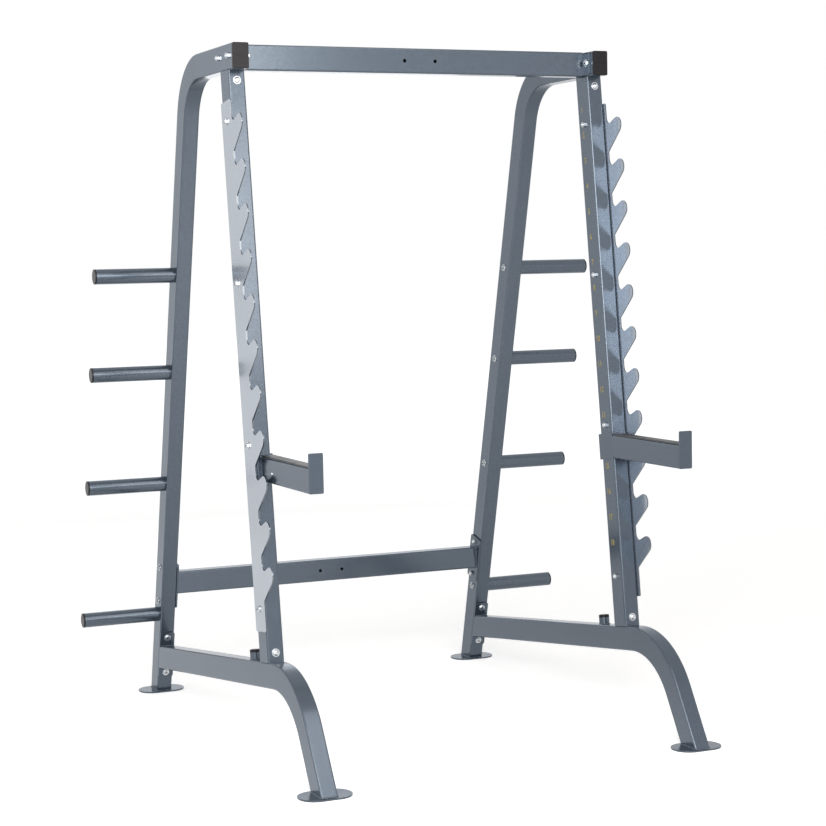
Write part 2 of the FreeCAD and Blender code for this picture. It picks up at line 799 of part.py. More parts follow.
def hook_plate_fasteners():
    bolts = []
    nuts = []
    seat = OUTER + "hook_plate"
    length = size("hook_plate") + "tube_width" + "nut_height" + "bolt_end"
    for tag, side in SIDES:
        for index, along in enumerate(PLATE_BOLTS):
            y, z = upright_point(along, 0.0)
            bolts.append(bolt_along_x("plate_bolt_%s_%d" % (tag, index), side, seat, y, z, length))
            nuts.append(nut_along_x("plate_nut_%s_%d" % (tag, index), side, INNER, y, z))
    group("hook_plate_bolts", bolts)
    group("hook_plate_nuts", nuts)


def upright_fasteners():
    bolts = []
    washers = []
    forward = size(90.0) - "upright_lean"
    for tag, side in SIDES:
        x = size("side_centre") * side
        for along in ("upright_bolt_high", "upright_bolt_low"):
            name = "%s_%s" % (along, tag)
            y, z = upright_point(along, HALF_DEPTH)
            ring = cylinder(name + "_disc", "washer", "washer_height", x, y, z, V(1, 0, 0), forward)
            bore = cylinder(name + "_bore", BOLT_HOLE, "washer_height", x, y, z, V(1, 0, 0), forward)
            washers.append(subtract(name + "_washer", ring, bore))
            y, z = upright_point(along, HALF_DEPTH + "washer_height")
            head = cylinder(name + "_head", "head", "head_height", x, y, z, V(1, 0, 0), forward)
            shank = cylinder(name + "_shank", "bolt", 22.0, x, y, z, V(1, 0, 0), forward - 180.0)
            bolts.append(fuse(name, [head, shank]))
    group("upright_bolts", bolts)
    group("upright_washers", washers)


def frame_fasteners():
    """Bolts of the lower, top and rear flanges, with the nuts they share."""
    low_bolts = []
    top_bolts = []
    rear_bolts = []
    nuts = []
    length = size("tube_width") + "plate" + "nut_height" + "bolt_end"
    for tag, side in SIDES:
        x = size("side_centre") * side
        for index, along in enumerate(("low_bolt_first", "low_bolt_second")):
            name = "low_bolt_%s_%d" % (tag, index)
            y, z = leg_point(along, -HALF_DEPTH - "plate")
            front = size(90.0) + "rear_lean"
            head = cylinder(name + "_head", "head", "head_height", x, y, z, V(1, 0, 0), front)
            deep = size("plate") + "tube_depth" + "nut_height" + "bolt_end"
            shank = cylinder(name + "_shank", "bolt", deep, x, y, z, V(1, 0, 0), front - 180.0)
            low_bolts.append(fuse(name, [head, shank]))
            y, z = leg_point(along, HALF_DEPTH)
            block = hexagon(name + "_nut_block", "head", "nut_height", x, y, z, V(1, 0, 0), front - 180.0)
            bore = cylinder(name + "_nut_bore", BOLT_HOLE, "nut_height", x, y, z, V(1, 0, 0), front - 180.0)
            nuts.append(subtract(name + "_nut", block, bore))
        for along in ("top_bolt_front", "top_bolt_rear"):
            name = "%s_%s" % (along, tag)
            y = -size(along)
            top_bolts.append(bolt_along_x(name, side, INNER - "plate", y, "top_bolt_height", length, inward=False))
            nuts.append(nut_along_x(name + "_nut", side, OUTER, y, "top_bolt_height", inward=False))
        for along in ("rear_bolt_low", "rear_bolt_high"):
            name = "%s_%s" % (along, tag)
            y, z = leg_point(along, 0.0)
            rear_bolts.append(bolt_along_x(name, side, OUTER, y, z, length))
            nuts.append(nut_along_x(name + "_nut", side, INNER - "plate", y, z))
    group("lower_flange_bolts", low_bolts)
    group("top_flange_bolts", top_bolts)
    group("rear_flange_bolts", rear_bolts)
    group("flange_nuts", nuts)


def peg_fasteners():
    bolts = []
    caps = []
    for tag, side in SIDES:
        for index, along in enumerate(PEGS):
            y, z = leg_point(along, 0.0)
            length = size("tube_width") + "peg_base" - 2.0
            bolts.append(bolt_along_x("peg_bolt_%s_%d" % (tag, index), side, INNER, y, z, length, inward=False))
            name = "peg_cap_%s_%d" % (tag, index)
            end = OUTER + "peg_long"
            ring = cylinder(name + "_ring", size("peg_radius") - 1.5, 1.5, end * side, y, z, V(0, 1, 0), 90.0 * side)
            disc = cylinder(name + "_disc", "peg_radius", size("cap_long") - 1.5,
                            (end + 1.5) * side, y, z, V(0, 1, 0), 90.0 * side)
            plug = cylinder(name + "_plug", size("peg_radius") - "peg_wall" - 0.4, 15.0,
                            (end - 14.0) * side, y, z, V(0, 1, 0), 90.0 * side)
            caps.append(fuse(name, [ring, disc, plug]))
    group("weight_peg_bolts", bolts)
    group("weight_peg_caps", caps)


def band_stub(name, side):
    """Short round tube standing on the lower beam, behind the upright."""
    body = keep(new_body(name))
    y, z = upright_point("beam_along", -size("stub_offset"))
    place(body, size("side_centre") * side, y, z, V(1, 0, 0), -size("upright_lean"))
    half = new_sketch(body, "XZ_Plane")
    bore = size("stub_radius") - "stub_wall"
    polygon(half, [(bore, 0.0), ("stub_radius", 0.0), ("stub_radius", "stub_long"), (bore, "stub_long")])
    spin(body, half)
    return body


def stub_plug(name, side):
    body = keep(new_body(name))
    y, z = upright_point("beam_along", -size("stub_offset"))
    place(body, size("side_centre") * side, y, z, V(1, 0, 0), -size("upright_lean"))
    half = new_sketch(body, "XZ_Plane")
    plug = size("stub_radius") - "stub_wall" - 0.4
    top = size("stub_long") + "stub_plug"
    polygon(half, [(0.0, size("stub_long") - 12.0), (plug, size("stub_long") - 12.0), (plug, "stub_long"),
                   ("stub_radius", "stub_long"), ("stub_radius", top), (0.0, top)])
    spin(body, half)
    return body


ARM_MIDDLE = size("arm_inner") + size("arm_width") / 2
SLEEVE_INSIDE = HALF_DEPTH + "slide_gap"
SLEEVE_OUTSIDE = SLEEVE_INSIDE + "sleeve_plate"


def spotter_arm(name, side):
    """Level tube reaching forward, cut off square to the upright at the sleeve."""
    body = keep(new_body(name))
    place(body, ARM_MIDDLE * side, -size("upright_foot"), 0.0)
    reach = size("arm_front") - "upright_foot"
    section = new_sketch(body, "XZ_Plane", (0.0, size("arm_bottom") + size("arm_height") / 2, reach))
    tube_section(section, "arm_width", "arm_height")
    pad(body, section, reach + 130.0, back=True)
    rear = new_sketch(body, "YZ_Plane", (0.0, 0.0, 0.0), V(0, 0, 1), -size("upright_lean"))
    low = size("arm_bottom") - 60.0
    high = size("arm_bottom") + "arm_height" + 60.0
    polygon(rear, [(-SLEEVE_OUTSIDE, low), (size(200.0), low), (size(200.0), high), (-SLEEVE_OUTSIDE, high)])
    cut(body, rear, size("arm_width") * 2)
    return body


def arm_sleeve(name, side):
    """Folded plate round the front, inner side and rear of the upright."""
    body = keep(new_body(name))
    place(body, size("side_centre") * side, -size("upright_foot"), 0.0, V(1, 0, 0), -size("upright_lean"))
    outline = new_sketch(body, "XY_Plane", (0.0, 0.0, "sleeve_bottom"))
    inner = (size("arm_inner") - "side_centre") * side
    open_side = (size("arm_inner") + "sleeve_wide" - "side_centre") * side
    wall = inner + size("sleeve_plate") * side
    polygon(outline, [
        (open_side, -SLEEVE_OUTSIDE), (inner, -SLEEVE_OUTSIDE), (inner, SLEEVE_OUTSIDE), (open_side, SLEEVE_OUTSIDE),
        (open_side, SLEEVE_INSIDE), (wall, SLEEVE_INSIDE), (wall, -SLEEVE_INSIDE), (open_side, -SLEEVE_INSIDE),
    ])
    pad(body, outline, "sleeve_long")
    rear = new_sketch(body, "XZ_Plane")
    circle(rear, 0.0, "pin_along", size("pin_radius") + "pin_fit")
    cut(body, rear, "tube_depth", both=False)
    return body


def arm_lip(name, side):
    """Upright end plate that keeps the bar from rolling off the arm."""
    body = keep(new_body(name))
    middle = size("arm_inner") + size("lip_wide") / 2
    place(body, middle * side, -size("arm_front"), 0.0)
    face = new_sketch(body, "XZ_Plane")
    half = size("lip_wide") / 2
    rounded(face, -half, half, "arm_bottom", "lip_top", 4.0)
    pad(body, face, "lip_plate")
    return body


def arm_pad(name, side):
    """Wear strip on top of the arm."""
    body = keep(new_body(name))
    top = size("arm_bottom") + "arm_height"
    place(body, ARM_MIDDLE * side, -size("arm_front"), top)
    half = size("arm_width") / 2 - "pad_inset"
    section = new_sketch(body, "XZ_Plane")
    rounded(section, -half, half, 0.0, "pad_height", 1.5)
    pad(body, section, size("arm_front") - 360.5, back=True)
    return body


def pin_housing(name, side):
    body = keep(new_body(name))
    y, z = upright_point("pin_along", -SLEEVE_OUTSIDE)
    place(body, size("side_centre") * side, y, z, V(1, 0, 0), -(size("upright_lean") + 90.0))
    half = new_sketch(body, "XZ_Plane")
    bore = size("pin_radius") + "pin_fit"
    edge = size("housing_radius")
    polygon(half, [(bore, 0.0), (edge, 0.0), (edge, size("housing_long") - 2.0), (edge - 2.0, "housing_long"),
                   (bore, "housing_long")])
    spin(body, half)
    return body


def pull_pin(name, side):
    body = keep(new_body(name))
    y, z = upright_point("pin_along", -SLEEVE_OUTSIDE)
    place(body, size("side_centre") * side, y, z, V(1, 0, 0), -(size("upright_lean") + 90.0))
    half = new_sketch(body, "XZ_Plane")
    tip = -(size("sleeve_plate") + "slide_gap" + "pin_reach")
    shoulder = size("housing_long") + 0.5
    end = shoulder + "knob_long"
    edge = size("knob_radius")
    pin = size("pin_radius")
    polygon(half, [(0.0, tip), (pin - 1.5, tip), (pin, tip + 1.5), (pin, shoulder), (edge - 2.0, shoulder),
                   (edge, shoulder + 2.0), (edge, end - 3.0), (edge - 3.0, end), (0.0, end)])
    spin(body, half)
    return body


for tag, side in SIDES:
    x_side = size("side_centre") * side
    rear_frame_tube("rear_frame_tube_" + tag, side)
    lower_frame_tube("lower_frame_tube_" + tag, side)
    front_upright("front_upright_" + tag, side)
    hook_plate("hook_plate_" + tag, side)
    upright_spigot("upper_spigot_" + tag, side, True)
    upright_spigot("lower_spigot_" + tag, side, False)
    lower_flange("lower_beam_flange_" + tag, side)
    foot_plate("front_foot_plate_" + tag, x_side, -size("front_plate_centre"))
    foot_plate("rear_foot_plate_" + tag, x_side, size("rear_plate_centre"))
    top_flange("top_crossbar_flange_" + tag, side)
    rear_flange("rear_crossbar_flange_" + tag, side)
    beam_cap("beam_cap_" + tag, side)
    for number, along in enumerate(PEGS, start=1):
        weight_peg("weight_peg_%s_%d" % (tag, number), side, along)
    band_stub("band_stub_" + tag, side)
    stub_plug("band_stub_plug_" + tag, side)
    spotter_arm("spotter_arm_" + tag, side)
    arm_sleeve("arm_sleeve_" + tag, side)
    arm_lip("arm_lip_" + tag, side)
    arm_pad("arm_pad_" + tag, side)
    pin_housing("pin_housing_" + tag, side)
    pull_pin("pull_pin_" + tag, side)

top_crossbar("top_crossbar")
rear_crossbar("rear_crossbar")
hook_plate_fasteners()
upright_fasteners()
frame_fasteners()
peg_fasteners()

doc.recompute()

problems = []
for item in doc.Objects:
    if "Invalid" in item.State or "Error" in item.State:
        problems.append("%s: %s" % (item.Name, item.State))
for item in NODES:
    if item.Shape.isNull() or not item.Shape.isValid() or not item.Shape.Solids:
        problems.append("%s has no valid solid" % item.Label)
if problems:
    raise RuntimeError("; ".join(problems))

os.makedirs("parts", exist_ok=True)
for item in NODES:
    item.Shape.exportStep("parts/%s.step" % item.Label)
print("%d pieces written" % len(NODES))
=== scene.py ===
import math

import bmesh
import bpy
from bpy.props import (
    FloatProperty,
    FloatVectorProperty,
    IntProperty,
    PointerProperty,
)
from mathutils import Matrix, Vector


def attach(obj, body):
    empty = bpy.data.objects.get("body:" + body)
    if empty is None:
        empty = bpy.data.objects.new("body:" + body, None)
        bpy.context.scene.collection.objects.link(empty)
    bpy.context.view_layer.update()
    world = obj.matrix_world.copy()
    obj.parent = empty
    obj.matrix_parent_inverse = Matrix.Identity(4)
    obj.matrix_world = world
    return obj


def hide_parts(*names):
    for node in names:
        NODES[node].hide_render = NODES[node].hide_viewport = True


bl_info = {
    "name": "Half rack",
    "version": (1, 0, 0),
    "blender": (4, 5, 0),
    "location": "3D View > Sidebar > Half rack",
    "description": "Finishes the half rack: plates, fasteners, caps, welds and paint",
    "category": "Object",
}

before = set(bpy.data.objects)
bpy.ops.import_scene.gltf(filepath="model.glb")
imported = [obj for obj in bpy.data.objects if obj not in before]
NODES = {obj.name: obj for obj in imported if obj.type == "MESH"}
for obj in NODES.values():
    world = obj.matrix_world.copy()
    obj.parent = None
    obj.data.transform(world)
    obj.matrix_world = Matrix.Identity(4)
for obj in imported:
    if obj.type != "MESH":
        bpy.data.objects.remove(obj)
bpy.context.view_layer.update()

SIDES = (("left", -1.0), ("right", 1.0))

# Places on the frame, in metres from the floor and the mirror plane. Angles in radians.
HALF_WIDE = 0.050 / 2
HALF_DEEP = 0.075 / 2
SIDE_CENTRE = 0.587
INNER_FACE = SIDE_CENTRE - HALF_WIDE
OUTER_FACE = SIDE_CENTRE + HALF_WIDE
BEAM_MIDDLE = 2.085 - HALF_DEEP
BEAM_FRONT = -0.2435
UPRIGHT_FOOT = -0.4145
UPRIGHT_LEAN = math.radians(7.13)
REAR_FOOT = 0.7865
REAR_LEAN = math.radians(14.85)
FRONT_FOOT = -0.7835
FRONT_LEAN = math.radians(32.26)
TOP_BAR_Y = -0.1635
REAR_BAR_Y = 0.6875
REAR_BAR_HEIGHT = 0.384
PLATE = 0.006
HOOK_PLATE = 0.004
FOOT_PLATE = 0.005
TOP_BOLTS = (-0.2075, -0.1175)
TOP_BOLT_HEIGHT = 2.050

# Places along the upright or the rear leg, from where its axis meets the floor.
PEGS = (0.285, 0.755, 1.141, 1.466)
PLATE_BOLTS = (0.459, 0.9325, 1.404, 1.8765)
UPRIGHT_BOLTS = (0.331, 1.991)
LOW_BOLTS = (0.0857, 0.2135)
REAR_BOLTS = (0.3335, 0.4555)
BEAM_ALONG = 0.303
PIN_ALONG = 0.884

# Sizes that the scene's pieces share with the CAD nodes.
PEG_LONG = 0.254
STUB_BEHIND = 0.147
STUB_LONG = 0.022
STUB_RADIUS = 0.0165
SLEEVE_OUT = 0.0425
BARREL_LONG = 0.018
BARREL_RADIUS = 0.011
ARM_BOTTOM = 0.8265
ARM_TOP = 0.8965
ARM_INNER = 0.557
ARM_OUTER = ARM_INNER + 0.042


def upright_frame(x, along, ahead=0.0):
    """Place on the upright: local z runs up its axis, local y to the rear."""
    turn = Matrix.Rotation(-UPRIGHT_LEAN, 4, "X")
    foot = Matrix.Translation((x, UPRIGHT_FOOT, 0.0))
    return foot @ turn @ Matrix.Translation((0.0, -ahead, along))


def leg_frame(x, along, behind=0.0):
    """Place on the rear leg: local z runs up its axis, local y to the rear."""
    turn = Matrix.Rotation(REAR_LEAN, 4, "X")
    foot = Matrix.Translation((x, REAR_FOOT, 0.0))
    return foot @ turn @ Matrix.Translation((0.0, behind, along))


def facing(direction):
    """Turn that points local z along the direction."""
    return Vector(direction).to_track_quat("Z", "Y").to_matrix().to_4x4()


# Modelling helpers

def take(*objects):
    """Select these objects alone and make the first one active."""
    bpy.ops.object.select_all(action="DESELECT")
    for obj in objects:
        obj.select_set(True)
    bpy.context.view_layer.objects.active = objects[0]


def edit(kind="FACE"):
    """Start to edit the active mesh, with nothing selected."""
    bpy.ops.object.mode_set(mode="EDIT")
    bpy.ops.mesh.select_mode(type=kind)
    bpy.ops.mesh.select_all(action="DESELECT")


def done():
    bpy.ops.object.mode_set(mode="OBJECT")


def pick(kind, test):
    """Select the faces or edges of the mesh in edit mode that pass a test."""
    obj = bpy.context.edit_object
    bpy.ops.mesh.select_all(action="DESELECT")
    mesh = bmesh.from_edit_mesh(obj.data)
    found = [item for item in getattr(mesh, kind) if test(item)]
    if not found:
        raise RuntimeError("%s: nothing to select" % obj.name)
    for item in found:
        item.select_set(True)
    bmesh.update_edit_mesh(obj.data)


def pick_all():
    bpy.ops.mesh.select_all(action="SELECT")


def pick_end(toward=1.0):
    """Select the flat upper end of a turned shape, or with -1 its lower end."""
    pick("faces", lambda f: f.normal.z * toward > 0.9)


def middle(item):
    points = [v.co for v in item.verts]
    return sum(points, Vector()) / len(points)


def extrude(x, y, z):
    bpy.ops.mesh.extrude_region_move(TRANSFORM_OT_translate={"value": (x, y, z)})


def turn_profile(radius, level, rings):
    """Extrude the selected round end through rings of a given radius and height."""
    for next_radius, next_level in rings:
        extrude(0, 0, next_level - level)
        grow = next_radius / radius
        bpy.ops.transform.resize(value=(grow, grow, 1.0), center_override=(0, 0, next_level))
        radius, level = next_radius, next_level


def close_up():
    """Turn every face outwards and stop editing."""
    pick_all()
    bpy.ops.mesh.normals_make_consistent(inside=False)
    done()


def modify(obj, kind, **values):
    """Add a modifier with these values and apply it."""
    take(obj)
    bpy.ops.object.modifier_add(type=kind)
    modifier = obj.modifiers[-1]
    for key, value in values.items():
        setattr(modifier, key, value)
    bpy.ops.object.modifier_apply(modifier=modifier.name)


def use_tool(shape, tool, operation):
    """Apply a boolean with a tool shape, which is then thrown away."""
    modify(shape, "BOOLEAN", operation=operation, solver="EXACT", object=tool)
    remove(tool)


def smooth(obj, angle=40.0):
    take(obj)
    bpy.ops.object.shade_smooth_by_angle(angle=math.radians(angle))
    modify(obj, "WEIGHTED_NORMAL", keep_sharp=True)


def soften(obj, width, segments=2, angle=35.0):
    """Round every edge that is sharper than the angle."""
    modify(obj, "BEVEL", width=width, segments=segments, limit_method="ANGLE",
           angle_limit=math.radians(angle), use_clamp_overlap=True, miter_outer="MITER_ARC")
    smooth(obj)


def settle():
    """Put the place, turn and size of the selected object into its mesh."""
    bpy.ops.object.transform_apply()


def cylinder(radius, low, high, sides):
    bpy.ops.mesh.primitive_cylinder_add(vertices=sides, radius=radius, depth=high - low,
                                        location=(0.0, 0.0, (low + high) / 2))
    settle()
    return bpy.context.object


def block(low, high):
    centre = [(a + b) / 2 for a, b in zip(low, high)]
    bpy.ops.mesh.primitive_cube_add(size=1.0, location=centre)
    obj = bpy.context.object
    obj.scale = [b - a for a, b in zip(low, high)]
    settle()
    return obj


def move_mesh(obj, matrix):
    obj.matrix_world = matrix
    take(obj)
    settle()
    return obj


def join(objects):
    take(*objects)
    if len(objects) > 1:
        bpy.ops.object.join()
    return objects[0]


def own_copy(source):
    """A copy with its own mesh, linked into the scene."""
    obj = bpy.data.objects.new("shape", source.data.copy())
    bpy.context.scene.collection.objects.link(obj)
    return obj


def copy_at(source, matrix):
    return move_mesh(own_copy(source), matrix)


def remove(*objects):
    for obj in objects:
        bpy.data.objects.remove(obj)


def hand_over(obj, name, body, material, slot, *nodes):
    """Name and paint a finished piece, hang it on the body it rides on, and hide the CAD nodes
    that it stands for.
    """
    obj.name = name
    obj.data.name = name
    obj.data.materials.clear()
    obj.data.materials.append(material)
    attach(obj, body)
    if nodes:
        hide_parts(*nodes)


def dress(cad, name, body, material, slot, edge, segments=2):
    """Stand a copy of a CAD node in for it, with whole faces and softened edges."""
    shape = own_copy(NODES[cad])
    take(shape)
    bpy.ops.object.mode_set(mode="EDIT")
    pick_all()
    bpy.ops.mesh.customdata_custom_splitnormals_clear()
    bpy.ops.mesh.remove_doubles(threshold=0.000002)
    bpy.ops.mesh.dissolve_limited(angle_limit=math.radians(0.6))
    done()
    soften(shape, edge, segments)
    hand_over(shape, name, body, material, slot, cad)


def paint_node(name):
    for place in NODES[name].material_slots:
        place.material = rack_paint()


# Shader nodes

def node(tree, kind, **values):
    """A shader node; a value whose key starts with in_ goes to the socket of that name."""
    made = tree.nodes.new("ShaderNode" + kind)
    for key, value in values.items():
        if key.startswith("in_"):
            made.inputs[key[3:].replace("_", " ")].default_value = value
        else:
            setattr(made, key, value)
    return made


def feed(tree, socket, source):
    """Link a socket to another one, or set it to a plain value."""
    if isinstance(source, bpy.types.NodeSocket):
        tree.links.new(source, socket)
    else:
        socket.default_value = source


def calc(tree, operation, *sides):
    made = node(tree, "Math", operation=operation)
    for socket, source in zip(made.inputs, sides):
        feed(tree, socket, source)
    return made.outputs[0]


def mix(tree, kind, factor, first, second):
    """Go from the first colour or number to the second one with the factor."""
    made = node(tree, "Mix", data_type=kind)
    for label, source in (("Factor", factor), ("A", first), ("B", second)):
        feed(tree, made.inputs[label], source)
    return made.outputs["Result"]


def remap(tree, source, from_low, from_high, to_low, to_high):
    ramp = node(tree, "MapRange", in_From_Min=from_low, in_From_Max=from_high,
                in_To_Min=to_low, in_To_Max=to_high)
    tree.links.new(source, ramp.inputs["Value"])
    return ramp.outputs["Result"]


def noise(tree, place, scale, detail, rough=0.5):
    made = node(tree, "TexNoise", in_Detail=detail, in_Roughness=rough)
    tree.links.new(place, made.inputs["Vector"])
    feed(tree, made.inputs["Scale"], scale)
    return made.outputs["Fac"]


def own_place(tree):
    return node(tree, "TexCoord").outputs["Object"]


# Node groups that the finishes share

def once(build):
    """Build a finish or node group at its first use, and give that one ever after."""
    name = build.__name__

    def given():
        return bpy.data.node_groups.get(name) or bpy.data.materials.get(name) or build()
    return given


def new_group(name, inputs, outputs):
    """An empty node group, with the sockets that it takes from and gives to."""
    group = bpy.data.node_groups.new(name, "ShaderNodeTree")
    for label, value in inputs.items():
        socket = group.interface.new_socket(label, in_out="INPUT",
                                            socket_type="NodeSocketFloat")
        socket.default_value = value
    for label in outputs:
        group.interface.new_socket(label, in_out="OUTPUT", socket_type="NodeSocketFloat")
    enter = group.nodes.new("NodeGroupInput").outputs
    leave = group.nodes.new("NodeGroupOutput").inputs
    return group, enter, leave


@once
def surface_mottle():
    """Slow change of tone and a fine rippled height, from the object's own place."""
    group, enter, leave = new_group(
        "surface_mottle", {"Patch Scale": 9.0, "Ripple Scale": 900.0}, ("Patches", "Ripple"))
    place = own_place(group)
    patches = noise(group, place, enter["Patch Scale"], 3.0, 0.55)
    ripple = noise(group, place, enter["Ripple Scale"], 2.0)
    group.links.new(remap(group, patches, 0.3, 0.7, 0.0, 1.0), leave["Patches"])
    group.links.new(ripple, leave["Ripple"])
    return group


@once
def handling_marks():
    """Sparse short scuffs and dull spots left by use."""
    group, enter, leave = new_group(
        "handling_marks", {"Size": 60.0, "Amount": 0.5}, ("Scuffs", "Dull"))
    place = own_place(group)
    stretch = node(group, "Mapping", in_Rotation=(0.5, 0.2, 0.9), in_Scale=(1.0, 7.0, 1.0))
    group.links.new(place, stretch.inputs["Vector"])
    lines = noise(group, stretch.outputs["Vector"], enter["Size"], 4.0, 0.7)
    spots = noise(group, place, calc(group, "MULTIPLY", enter["Size"], 0.3), 2.0)
    scuffs = remap(group, lines, 0.66, 0.74, 0.0, 1.0)
    dull = remap(group, spots, 0.5, 0.75, 0.0, 1.0)
    group.links.new(calc(group, "MULTIPLY", scuffs, enter["Amount"]), leave["Scuffs"])
    group.links.new(calc(group, "MULTIPLY", dull, enter["Amount"]), leave["Dull"])
    return group


@once
def edge_wear():
    """Mask that is one along outer edges and corners, broken up by a fine noise."""
    group, enter, leave = new_group(
        "edge_wear", {"Reach": 0.53, "Break Up": 140.0}, ("Edge",))
    point = node(group, "NewGeometry").outputs["Pointiness"]
    edge = remap(group, calc(group, "SUBTRACT", point, enter["Reach"]), 0.0, 0.05, 0.0, 1.0)
    grain = noise(group, own_place(group), enter["Break Up"], 3.0)
    broken = remap(group, grain, 0.4, 0.6, 0.25, 1.0)
    group.links.new(calc(group, "MULTIPLY", edge, broken), leave["Edge"])
    return group


@once
def cut_rim():
    """Mask that is one on the cut rim of the toothed plates, between their two faces, where a
    darker tone is painted as a dark reflection.
    """
    group, enter, leave = new_group("cut_rim", {"Middle": 0.0, "Half Thick": 0.002}, ("Rim",))
    parts = node(group, "SeparateXYZ")
    group.links.new(own_place(group), parts.inputs[0])
    outward = calc(group, "ABSOLUTE", parts.outputs["X"])
    apart = calc(group, "ABSOLUTE", calc(group, "SUBTRACT", outward, enter["Middle"]))
    share = calc(group, "DIVIDE", apart, enter["Half Thick"])
    group.links.new(remap(group, share, 0.7, 0.95, 1.0, 0.0), leave["Rim"])
    return group


# Finishes

# Darker tone of the toothed plates' cut rim: a painted dark reflection. The rim's lower
# roughness is real gloss.
RIM_PAINTED_REFLECTION_TONE = 0.3
RIM_ROUGH = 0.1


def colours():
    return bpy.context.scene.half_rack_colours


def blank_tree(owner):
    """The node tree of a material or world, with nothing in it."""
    owner.use_nodes = True
    owner.node_tree.nodes.clear()
    return owner.node_tree


def tone(colour, times, more=0.0):
    """A colour for a socket, made lighter or darker."""
    return (*[min(1.0, part * times + more) for part in colour], 1.0)


def shade(name, colour, lighter, metallic, rough, bump, coat=0.0, coat_rough=0.1,
          edge_tint=(1.0, 1.0, 1.0), gloss_level=0.5, patch=9.0, ripple=900.0,
          marks=0.3, mark_size=60.0, wear=0.0):
    """One finish: mottled colour, uneven gloss, fine relief, scuffs and worn edges."""
    material = bpy.data.materials.new(name)
    tree = blank_tree(material)
    link = tree.links.new
    base = node(tree, "BsdfPrincipled", in_Metallic=metallic, in_Coat_Weight=coat,
                in_Coat_Roughness=coat_rough, in_Specular_Tint=(*edge_tint, 1.0),
                in_Specular_IOR_Level=gloss_level)
    link(base.outputs[0], node(tree, "OutputMaterial").inputs["Surface"])
    mottle = node(tree, "Group", node_tree=surface_mottle(),
                  in_Patch_Scale=patch, in_Ripple_Scale=ripple)
    use = node(tree, "Group", node_tree=handling_marks(), in_Size=mark_size, in_Amount=marks)
    paint = mix(tree, "RGBA", mottle.outputs["Patches"], tone(colour, 1.0),
                tone(colour, lighter))
    paint = mix(tree, "RGBA", use.outputs["Scuffs"], paint, tone(colour, 1.25, 0.01))
    if wear > 0.0:
        edge = node(tree, "Group", node_tree=edge_wear()).outputs["Edge"]
        paint = mix(tree, "RGBA", calc(tree, "MULTIPLY", edge, wear), paint,
                    tone(colour, 1.7, 0.02))
    link(paint, base.inputs["Base Color"])
    link(remap(tree, use.outputs["Dull"], 0.0, 1.0, *rough), base.inputs["Roughness"])
    relief = node(tree, "Bump", in_Distance=bump)
    link(mottle.outputs["Ripple"], relief.inputs["Height"])
    link(relief.outputs["Normal"], base.inputs["Normal"])
    return material


@once
def rack_paint():
    return shade("rack_paint", colours().paint, lighter=1.05, metallic=0.72,
                 rough=(0.25, 0.31), bump=0.0000025, coat=0.45, coat_rough=0.14,
                 edge_tint=(0.60, 0.65, 0.72), patch=5.0, ripple=420.0, marks=0.2, wear=0.2)


@once
def hook_silver():
    """Silver paint on the faces of the toothed plates, and a glossier cut rim whose darker
    colour is a painted dark reflection.
    """
    colour = colours().hook_silver
    material = shade("hook_silver", colour, lighter=1.04, metallic=0.75,
                     rough=(0.18, 0.26), bump=0.0000025, coat=0.5, coat_rough=0.06,
                     patch=7.0, ripple=500.0, marks=0.2, wear=0.2)
    tree = material.node_tree
    base = tree.nodes["Principled BSDF"]
    rim = node(tree, "Group", node_tree=cut_rim(), in_Middle=OUTER_FACE + HOOK_PLATE / 2,
               in_Half_Thick=HOOK_PLATE / 2).outputs["Rim"]
    # the rim's darker colour is a painted dark reflection; its lower roughness is real gloss
    for label, kind, on_rim in (("Base Color", "RGBA", tone(colour, RIM_PAINTED_REFLECTION_TONE)),
                                ("Roughness", "FLOAT", RIM_ROUGH)):
        socket = base.inputs[label]
        on_face = socket.links[0].from_socket
        tree.links.new(mix(tree, kind, rim, on_face, on_rim), socket)
    return material


@once
def bright_zinc():
    return shade("bright_zinc", colours().zinc, lighter=0.92, metallic=0.95,
                 rough=(0.22, 0.32), bump=0.000006, patch=60.0, ripple=1500.0,
                 mark_size=200.0, wear=0.2)


@once
def turned_steel():
    return shade("turned_steel", colours().steel, lighter=0.92, metallic=1.0,
                 rough=(0.26, 0.38), bump=0.000008, patch=60.0, ripple=1800.0,
                 mark_size=200.0)


@once
def black_moulding():
    return shade("black_moulding", colours().plastic, lighter=1.25, metallic=0.0,
                 rough=(0.3, 0.36), bump=0.000006, gloss_level=0.2, patch=30.0,
                 ripple=1400.0, mark_size=120.0, wear=0.15)


@once
def wear_strip():
    return shade("wear_strip", colours().pad, lighter=1.2, metallic=0.0,
                 rough=(0.5, 0.66), bump=0.00015, patch=25.0, ripple=1600.0,
                 marks=0.8, mark_size=90.0)


@once
def number_print():
    return shade("number_print", colours().numbers, lighter=0.85, metallic=0.0,
                 rough=(0.4, 0.55), bump=0.00003, patch=200.0, ripple=3000.0,
                 marks=0.5, mark_size=300.0)


# Settings

